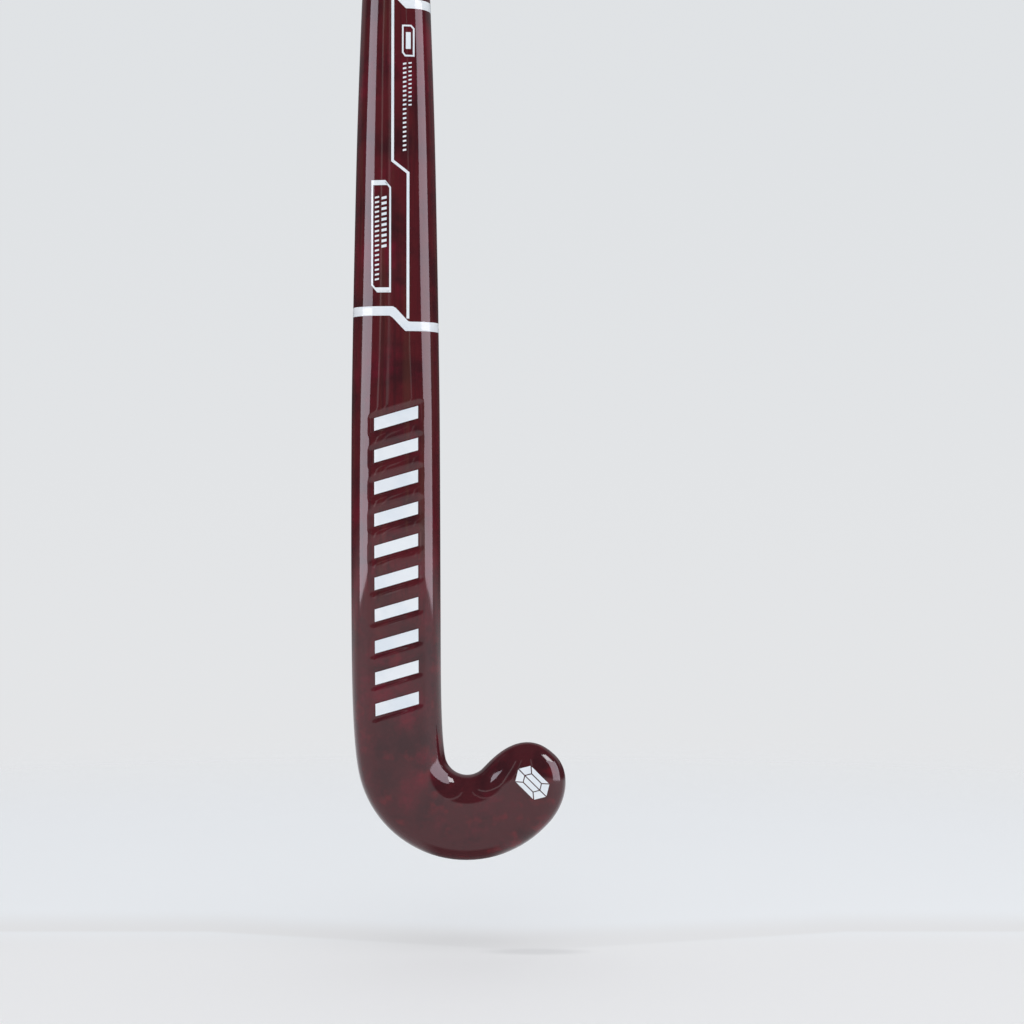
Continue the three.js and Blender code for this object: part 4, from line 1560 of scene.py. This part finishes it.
@dataclass
class FaceCoat:
    """The rough coat on the head's face. Sizes are in millimetres."""

    form: StickForm
    inset: float = 2.2
    thick: float = 0.35
    # how far the coat's underside lies beneath the shell's surface
    under: float = 0.3
    step: tuple[Point, Point] = ((9.4, 102.8), (-0.8, 111.3))
    # the height where the coat ends, and where and over what length its rows turn to follow the step
    end: float = 107.0
    step_from: float = 84.0
    step_length: float = 23.0
    # the share of the way out to the section's edge where the coat stops falling away
    most: float = 0.985

    def distances(self) -> np.ndarray:
        """Returns the distances of the coat's rows from the toe tip, finer round the toe."""
        form = self.form
        tip = [self.inset + form.toe_round * (1 - math.cos(t)) for t in np.linspace(0.05, math.pi / 2, 22)]
        end = form.at_height(self.end)
        return np.array(tip + list(np.arange(tip[-1] + 2, end - 1, 2.0)) + [end])

    def build(self) -> Piece:
        """Returns the coat as a thin closed sheet that ends in a step."""
        form, rows = self.form, self.distances()
        across = np.sin(np.linspace(-math.pi / 2, math.pi / 2, 41))[None]
        share = smooth((rows - form.at_height(self.step_from)) / self.step_length)
        half = form.size(rows, 1)[:, None]
        lateral = across * (half - self.inset)
        (x0, z0), (x1, z1) = self.step
        top = z1 + (z0 - z1) * np.clip((lateral - x1) / (x0 - x1), 0, 1)
        distance = rows[:, None] + share[:, None] * (top - self.end)
        flat = form.skin(distance, across, Side.FACE, -self.inset)
        tip = np.clip((form.toe_round - distance) / form.toe_round, 0, 1)
        beside = across * (half - self.inset) / half * np.sqrt(1 - tip**2)
        reach = np.minimum(np.hypot(tip, beside), self.most)
        lip, edge = form.size(distance, 3), form.size(distance, 4)
        level = 1 - edge / half
        roll = np.maximum(0, (reach - level) / (1 - level))
        drop = lip * (np.sqrt(np.maximum(0, 1 - roll * roll)) - 1)
        z = (flat[..., 2] - form.origin[2]) / MM
        flat[..., 1] = form.origin[1] + (form.bow_at(z) + drop) * MM
        above, below = flat.copy(), flat[:, ::-1].copy()
        above[..., 1] += self.thick * MM
        below[..., 1] -= self.under * MM
        rings = np.concatenate([above, below], axis=1)
        coat = ring_piece("rough_face_coat", rings, GRIT.build(), sharp=50.0)
        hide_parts("face_grit_coat")
        return coat


@dataclass
class Handle:
    """The wound grip with dark discs painted as the shade of its perforations, the finishing tape and the
    butt cap.
    """

    form: StickForm
    wrap: Recipe = field(default_factory=spiral_recipe)
    studs: Recipe = field(default_factory=stud_recipe)
    # the grip's ends, its ribbon's width and each turn's overlap, in millimetres
    grip_from: float = 598.0
    grip_to: float = 920.3
    ribbon: float = 29.0
    overlap: float = 4.2
    turns: float = 14.0
    # lift and thickness of the grip, in metres
    lift: float = 0.0006
    depth: float = 0.0013
    # the finishing tape's ends, in millimetres
    tape_ends: Point = (586.0, 613.0)

    def axis(self, z: float) -> tuple[float, float, float]:
        """Returns the place of the section's widest line at a height."""
        edge = self.form.skin(self.form.at_height(z), 1.0, Side.FACE)
        return float(self.form.origin[0]), float(edge[1]), z * MM + float(self.form.origin[2])

    def winding(self) -> dict[str, object]:
        """Returns the winding's values for the grip."""
        return dict(
            start=self.axis(self.grip_from), end=self.axis(self.grip_to), turns=self.turns,
            radii=GRIP_RADII, radii_end=BUTT_RADII, ribbon=self.ribbon * MM,
            overlap=self.overlap * MM, lift=self.lift, depth=self.depth,
        )

    def grip(self) -> list[Piece]:
        """Returns the spiral grip and the dark discs set on it, painted shade that stands for its
        perforations.
        """
        strip = self.wrap.run(
            "spiral_grip", bpy.data.meshes.new("seed"), GRIP.build(), **self.winding(), around=60, rows=13
        )
        # near-black discs: painted shade where the grip is perforated
        hole_shade = self.studs.run(
            "grip_holes", bpy.data.meshes.new("seed"), HOLE_SHADE.build(), **self.winding(),
            columns=264, rows=4, low=0.34, high=0.9, radius=0.00062, tall=0.0005,
        )
        for piece in (strip, hole_shade):
            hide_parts("grip_wrap")
        return [strip, hole_shade]

    def tape(self) -> Piece:
        """Returns the finishing tape over the grip's lower end."""
        low, high = self.tape_ends
        profile = [
            (low, -0.2), (low, 0.35), (586.6, 0.5), (590, 0.55), (594, 0.62), (597, 1.1), (599, 1.9),
            (601.5, 2.5), (605, 3.0), (605.2, 3.25), (609, 3.4), (612.5, 3.45), (612.9, 3.3), (high, 2.6),
            (high, 0.0),
        ]
        piece = ring_piece("finishing_tape", self.turned(profile), VINYL.build(), sharp=50.0, wrap=True)
        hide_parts("grip_finishing_tape")
        return piece

    def turned(self, profile: Sequence[Point]) -> np.ndarray:
        """Returns even rings round the handle.

        Args:
            profile: a height and a distance out from the skin for each ring.

        Returns:
            An array of rings by points by 3, in metres.
        """
        back = [math.cos(t) for t in np.linspace(0, math.pi, 25)[:-1]]
        face = [-a for a in back]
        distances = [self.form.at_height(z) for z, _ in profile]
        return self.form.ring(np.array(distances), face, back, np.array([lift for _, lift in profile]))

    def cap(self) -> Piece:
        """Returns the butt cap: a flange with a bead, a dished top and a spigot."""
        spigot = [(894.3, -3.1), (915.2, -3.1), (915.3, 1.3), (920.7, 1.3)]
        flange = [(920.8, 2.9), (921.2, 3.2), (922.4, 3.2), (922.8, 2.95), (923.2, 3.2), (924.4, 3.15)]
        shoulder = [(925.3, 2.7), (925.9, 1.9), (926.2, 0.9), (926.25, -0.2), (926.25, -1.5)]
        dish = [(925.9, -2.3), (925.6, -3.2), (925.6, -5.5), (925.9, -6.4), (926.1, -7.2)]
        rings = self.turned(spigot + flange + shoulder + dish)
        piece = ring_piece("rubber_butt_cap", rings, RUBBER.build(), sharp=50.0)
        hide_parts("butt_cap")
        return piece

    def pips(self) -> Piece:
        """Returns the row of small pips round the cap's rim."""
        piece = self.studs.run(
            "cap_pips", bpy.data.meshes.new("seed"), RUBBER.build(),
            start=self.axis(922.7), end=self.axis(922.9), radii=BUTT_RADII, radii_end=BUTT_RADII,
            turns=1.0, ribbon=0.00001, overlap=0.0, lift=0.0028, depth=0.0002,
            columns=45, rows=2, low=0.5, high=0.51, radius=0.0005, tall=0.0008,
        )
        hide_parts("butt_cap")
        return piece

    def build(self) -> list[Piece]:
        """Builds the handle's pieces."""
        return [*self.grip(), self.tape(), self.cap(), self.pips()]


@dataclass
class Insides:
    """What the shell hides: the solids stay, each with its own finish."""

    finishes: dict[str, Finish] = field(
        default_factory=lambda: {
            "aramid_face_ply": ARAMID,
            "head_core": FOAM,
            "inner_tube_toe_side": CARBON,
            "inner_tube_heel_side": CARBON,
            "bladder_toe_side": FILM,
            "bladder_heel_side": FILM,
            "handle_plug": FOAM,
            "grip_cushion": CUSHION,
        }
    )

    def build(self) -> list[Piece]:
        """Gives each hidden solid its finish and returns them."""
        pieces = []
        for name, finish in self.finishes.items():
            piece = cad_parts[name]
            piece.data.materials.clear()
            piece.data.materials.append(finish.build())
            pieces.append(piece)
        return pieces


# ---- Studio ----------------------------------------------------------------------------------------


class Seen(Enum):
    """What a light reaches."""

    GLOSS = "gloss"
    DIFFUSE = "diffuse"


@dataclass(frozen=True)
class Strip:
    """A tall softbox beside the stick.

    It spans two turns, in degrees, from the way the stick's back faces, at a reach in metres.
    """

    name: str
    turns: Point
    glow: float
    tint: Color
    top: float
    reach: float = 3.0
    bottom: float = -0.35


@dataclass
class Studio:
    """The floor, the lights, the world and the camera."""

    form: StickForm
    # how far the floor lies below the stick, and its radius, in metres
    drop: float = 0.052
    floor_radius: float = 1.4
    # the camera's distance in metres, the x and z that it faces in millimetres, and its lens
    distance: float = 1.372
    aim: Point = (65.6, 198.9)
    lens: float = 85.0
    daylight: Color = (0.94, 0.96, 1.0)
    # what the camera sees behind the floor, low and high up
    backdrop: tuple[Color, Color] = ((0.775, 0.785, 0.80), (0.745, 0.765, 0.785))
    # what the gloss sees: the dark room, and its pale rear, floor and ceiling
    room: tuple[Color, Color] = ((0.05, 0.05, 0.055), (0.70, 0.71, 0.73))
    # what lights the rest
    ambient: Color = (0.78, 0.79, 0.81)
    strips: tuple[Strip, ...] = (
        Strip("strip_left", (-76.0, -35.0), 5.6, (0.92, 0.88, 1.0), 1.45),
        Strip("strip_right", (45.0, 88.0), 4.8, (1.0, 0.86, 0.98), 2.3),
        Strip("high_right", (50.0, 74.0), 12.0, (0.98, 0.96, 1.0), 3.6, bottom=2.3),
        Strip("strand_left", (-16.5, -14.0), 1.1, (1.0, 0.95, 0.95), 1.9),
        Strip("strand_middle", (-5.6, -4.2), 0.8, (1.0, 0.95, 0.95), 1.9),
        Strip("strand_right", (10.0, 12.0), 0.8, (1.0, 0.95, 0.95), 1.9),
    )

    def floor(self) -> Piece:
        """Returns the round floor below the hanging stick."""
        work = bmesh.new()
        bmesh.ops.create_circle(work, cap_ends=True, segments=96, radius=self.floor_radius)
        mesh = bpy.data.meshes.new("floor")
        work.to_mesh(mesh)
        work.free()
        floor = new_piece("studio_floor", mesh, FLOOR.build())
        floor.location = (0.0, 0.0, -self.drop)
        return floor

    @staticmethod
    def softbox(
        name: str, place: Vector, target: Vector, size: Point, glow: float, tint: Color, seen: Seen
    ) -> None:
        """Adds a rectangular softbox that faces a target.

        Args:
            name: the light's name.
            place: where it stands.
            target: what it faces.
            size: its width and height, in metres.
            glow: its brightness, where white paper in the studio is about 1.
            tint: its colour.
            seen: what it reaches.
        """
        light = bpy.data.lights.new(name, "AREA")
        light.color = tint
        light.shape = "RECTANGLE"
        light.size, light.size_y = size
        light.energy = glow * math.pi * size[0] * size[1]
        lamp = bpy.data.objects.new(name, light)
        lamp.location = place
        lamp.rotation_euler = (target - place).to_track_quat("-Z", "Y").to_euler()
        lamp.visible_camera = False
        lamp.visible_diffuse = seen is Seen.DIFFUSE
        lamp.visible_glossy = seen is Seen.GLOSS
        bpy.context.scene.collection.objects.link(lamp)

    def lights(self) -> None:
        """Adds the tall strips round the stick, and two broad soft lights overhead and in front."""
        for strip in self.strips:
            low, high = (math.radians(a) for a in strip.turns)
            middle, width = (low + high) / 2, 2 * strip.reach * math.tan((high - low) / 2)
            place = Vector((math.sin(middle), -math.cos(middle), 0.0)) * strip.reach
            place += Vector((self.form.origin[0], 0.0, (strip.bottom + strip.top) / 2))
            target = Vector((self.form.origin[0], 0.0, place.z))
            size = (width, strip.top - strip.bottom)
            self.softbox(strip.name, place, target, size, strip.glow, strip.tint, Seen.GLOSS)
        target = Vector((0.0, 0.0, 0.3))
        for name, place, size, glow in (
            ("overhead", (0.2, -0.9, 2.6), (2.2, 1.6), 1.15),
            ("front_fill", (0.0, -2.5, 0.7), (2.0, 2.0), 0.6),
        ):
            self.softbox(name, Vector(place), target, size, glow, self.daylight, Seen.DIFFUSE)

    def world(self) -> None:
        """Makes the pale backdrop, and the darker room that the gloss sees."""
        world = bpy.data.worlds.new("studio")
        bpy.context.scene.world = world
        world.use_nodes = True
        world.node_tree.nodes.clear()
        nodes = Nodes(world.node_tree)
        _, y, z = nodes.split(nodes.add("ShaderNodeTexCoord").outputs["Generated"])
        backdrop = nodes.mix(nodes.ease(z, -0.12, 0.2), *self.backdrop)
        behind = nodes.ease(y, 0.965, 0.992)
        below = nodes.ease(z, -0.02, -0.12)
        over = nodes.times(nodes.ease(y, 0.2, 0.5), nodes.ease(z, 0.1, 0.4, 0.0, 0.7))
        bright = nodes.math("MAXIMUM", nodes.math("MAXIMUM", behind, below), over)
        room = nodes.mix(bright, *self.room)
        path = nodes.add("ShaderNodeLightPath").outputs
        unseen = nodes.mix(path["Is Glossy Ray"], self.ambient, room)
        color = nodes.mix(path["Is Camera Ray"], unseen, backdrop)
        background = nodes.add("ShaderNodeBackground", {"Color": color, "Strength": 1.0})
        nodes.add("ShaderNodeOutputWorld", {0: background.outputs[0]})

    def camera(self) -> None:
        """Adds the level camera in front of the stick's back."""
        data = bpy.data.cameras.new("camera")
        data.lens = self.lens
        data.sensor_width = 36.0
        data.clip_end = 50.0
        camera = bpy.data.objects.new("camera", data)
        camera.location = self.form.point(*self.aim) + Vector((0.0, -self.distance, 0.0))
        camera.rotation_euler = (math.pi / 2, 0.0, 0.0)
        bpy.context.scene.collection.objects.link(camera)
        bpy.context.scene.camera = camera

    def build(self) -> None:
        """Sets up the whole studio."""
        self.floor()
        self.lights()
        self.world()
        self.camera()
        bpy.context.scene.view_settings.view_transform = "Standard"


# ---- Assembly --------------------------------------------------------------------------------------


def report(pieces: Sequence[Piece]) -> None:
    """Rides each new piece on the stick's one body, and logs its size.

    Args:
        pieces: new pieces, and hidden solids that are kept as they are.
    """
    for piece in pieces:
        if piece.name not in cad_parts:
            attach(piece, "root")
        log.info("%s: %d faces", piece.name, len(piece.data.polygons))


def main() -> None:
    """Builds the stick and its studio."""
    logging.basicConfig(level=logging.INFO, format="%(message)s")
    form = StickForm()
    sunk_bars = Bars(10, 91.0, 17.8, -11.2, 13.0, 7.0, 7.0)
    face_bars = Bars(6, 325.0, 12.0, -12.0, -1.7, 6.0, 4.0)
    body = Shell(form, sunk_bars)
    shell = body.build()
    report([shell])
    report(Graphics(form, shell, sunk_bars, face_bars).build(*body.columns()))
    report([FaceCoat(form).build()])
    report(Handle(form).build())
    report(Insides().build())
    Studio(form).build()
    bpy.context.view_layer.update()


if __name__ == "__main__":
    main()
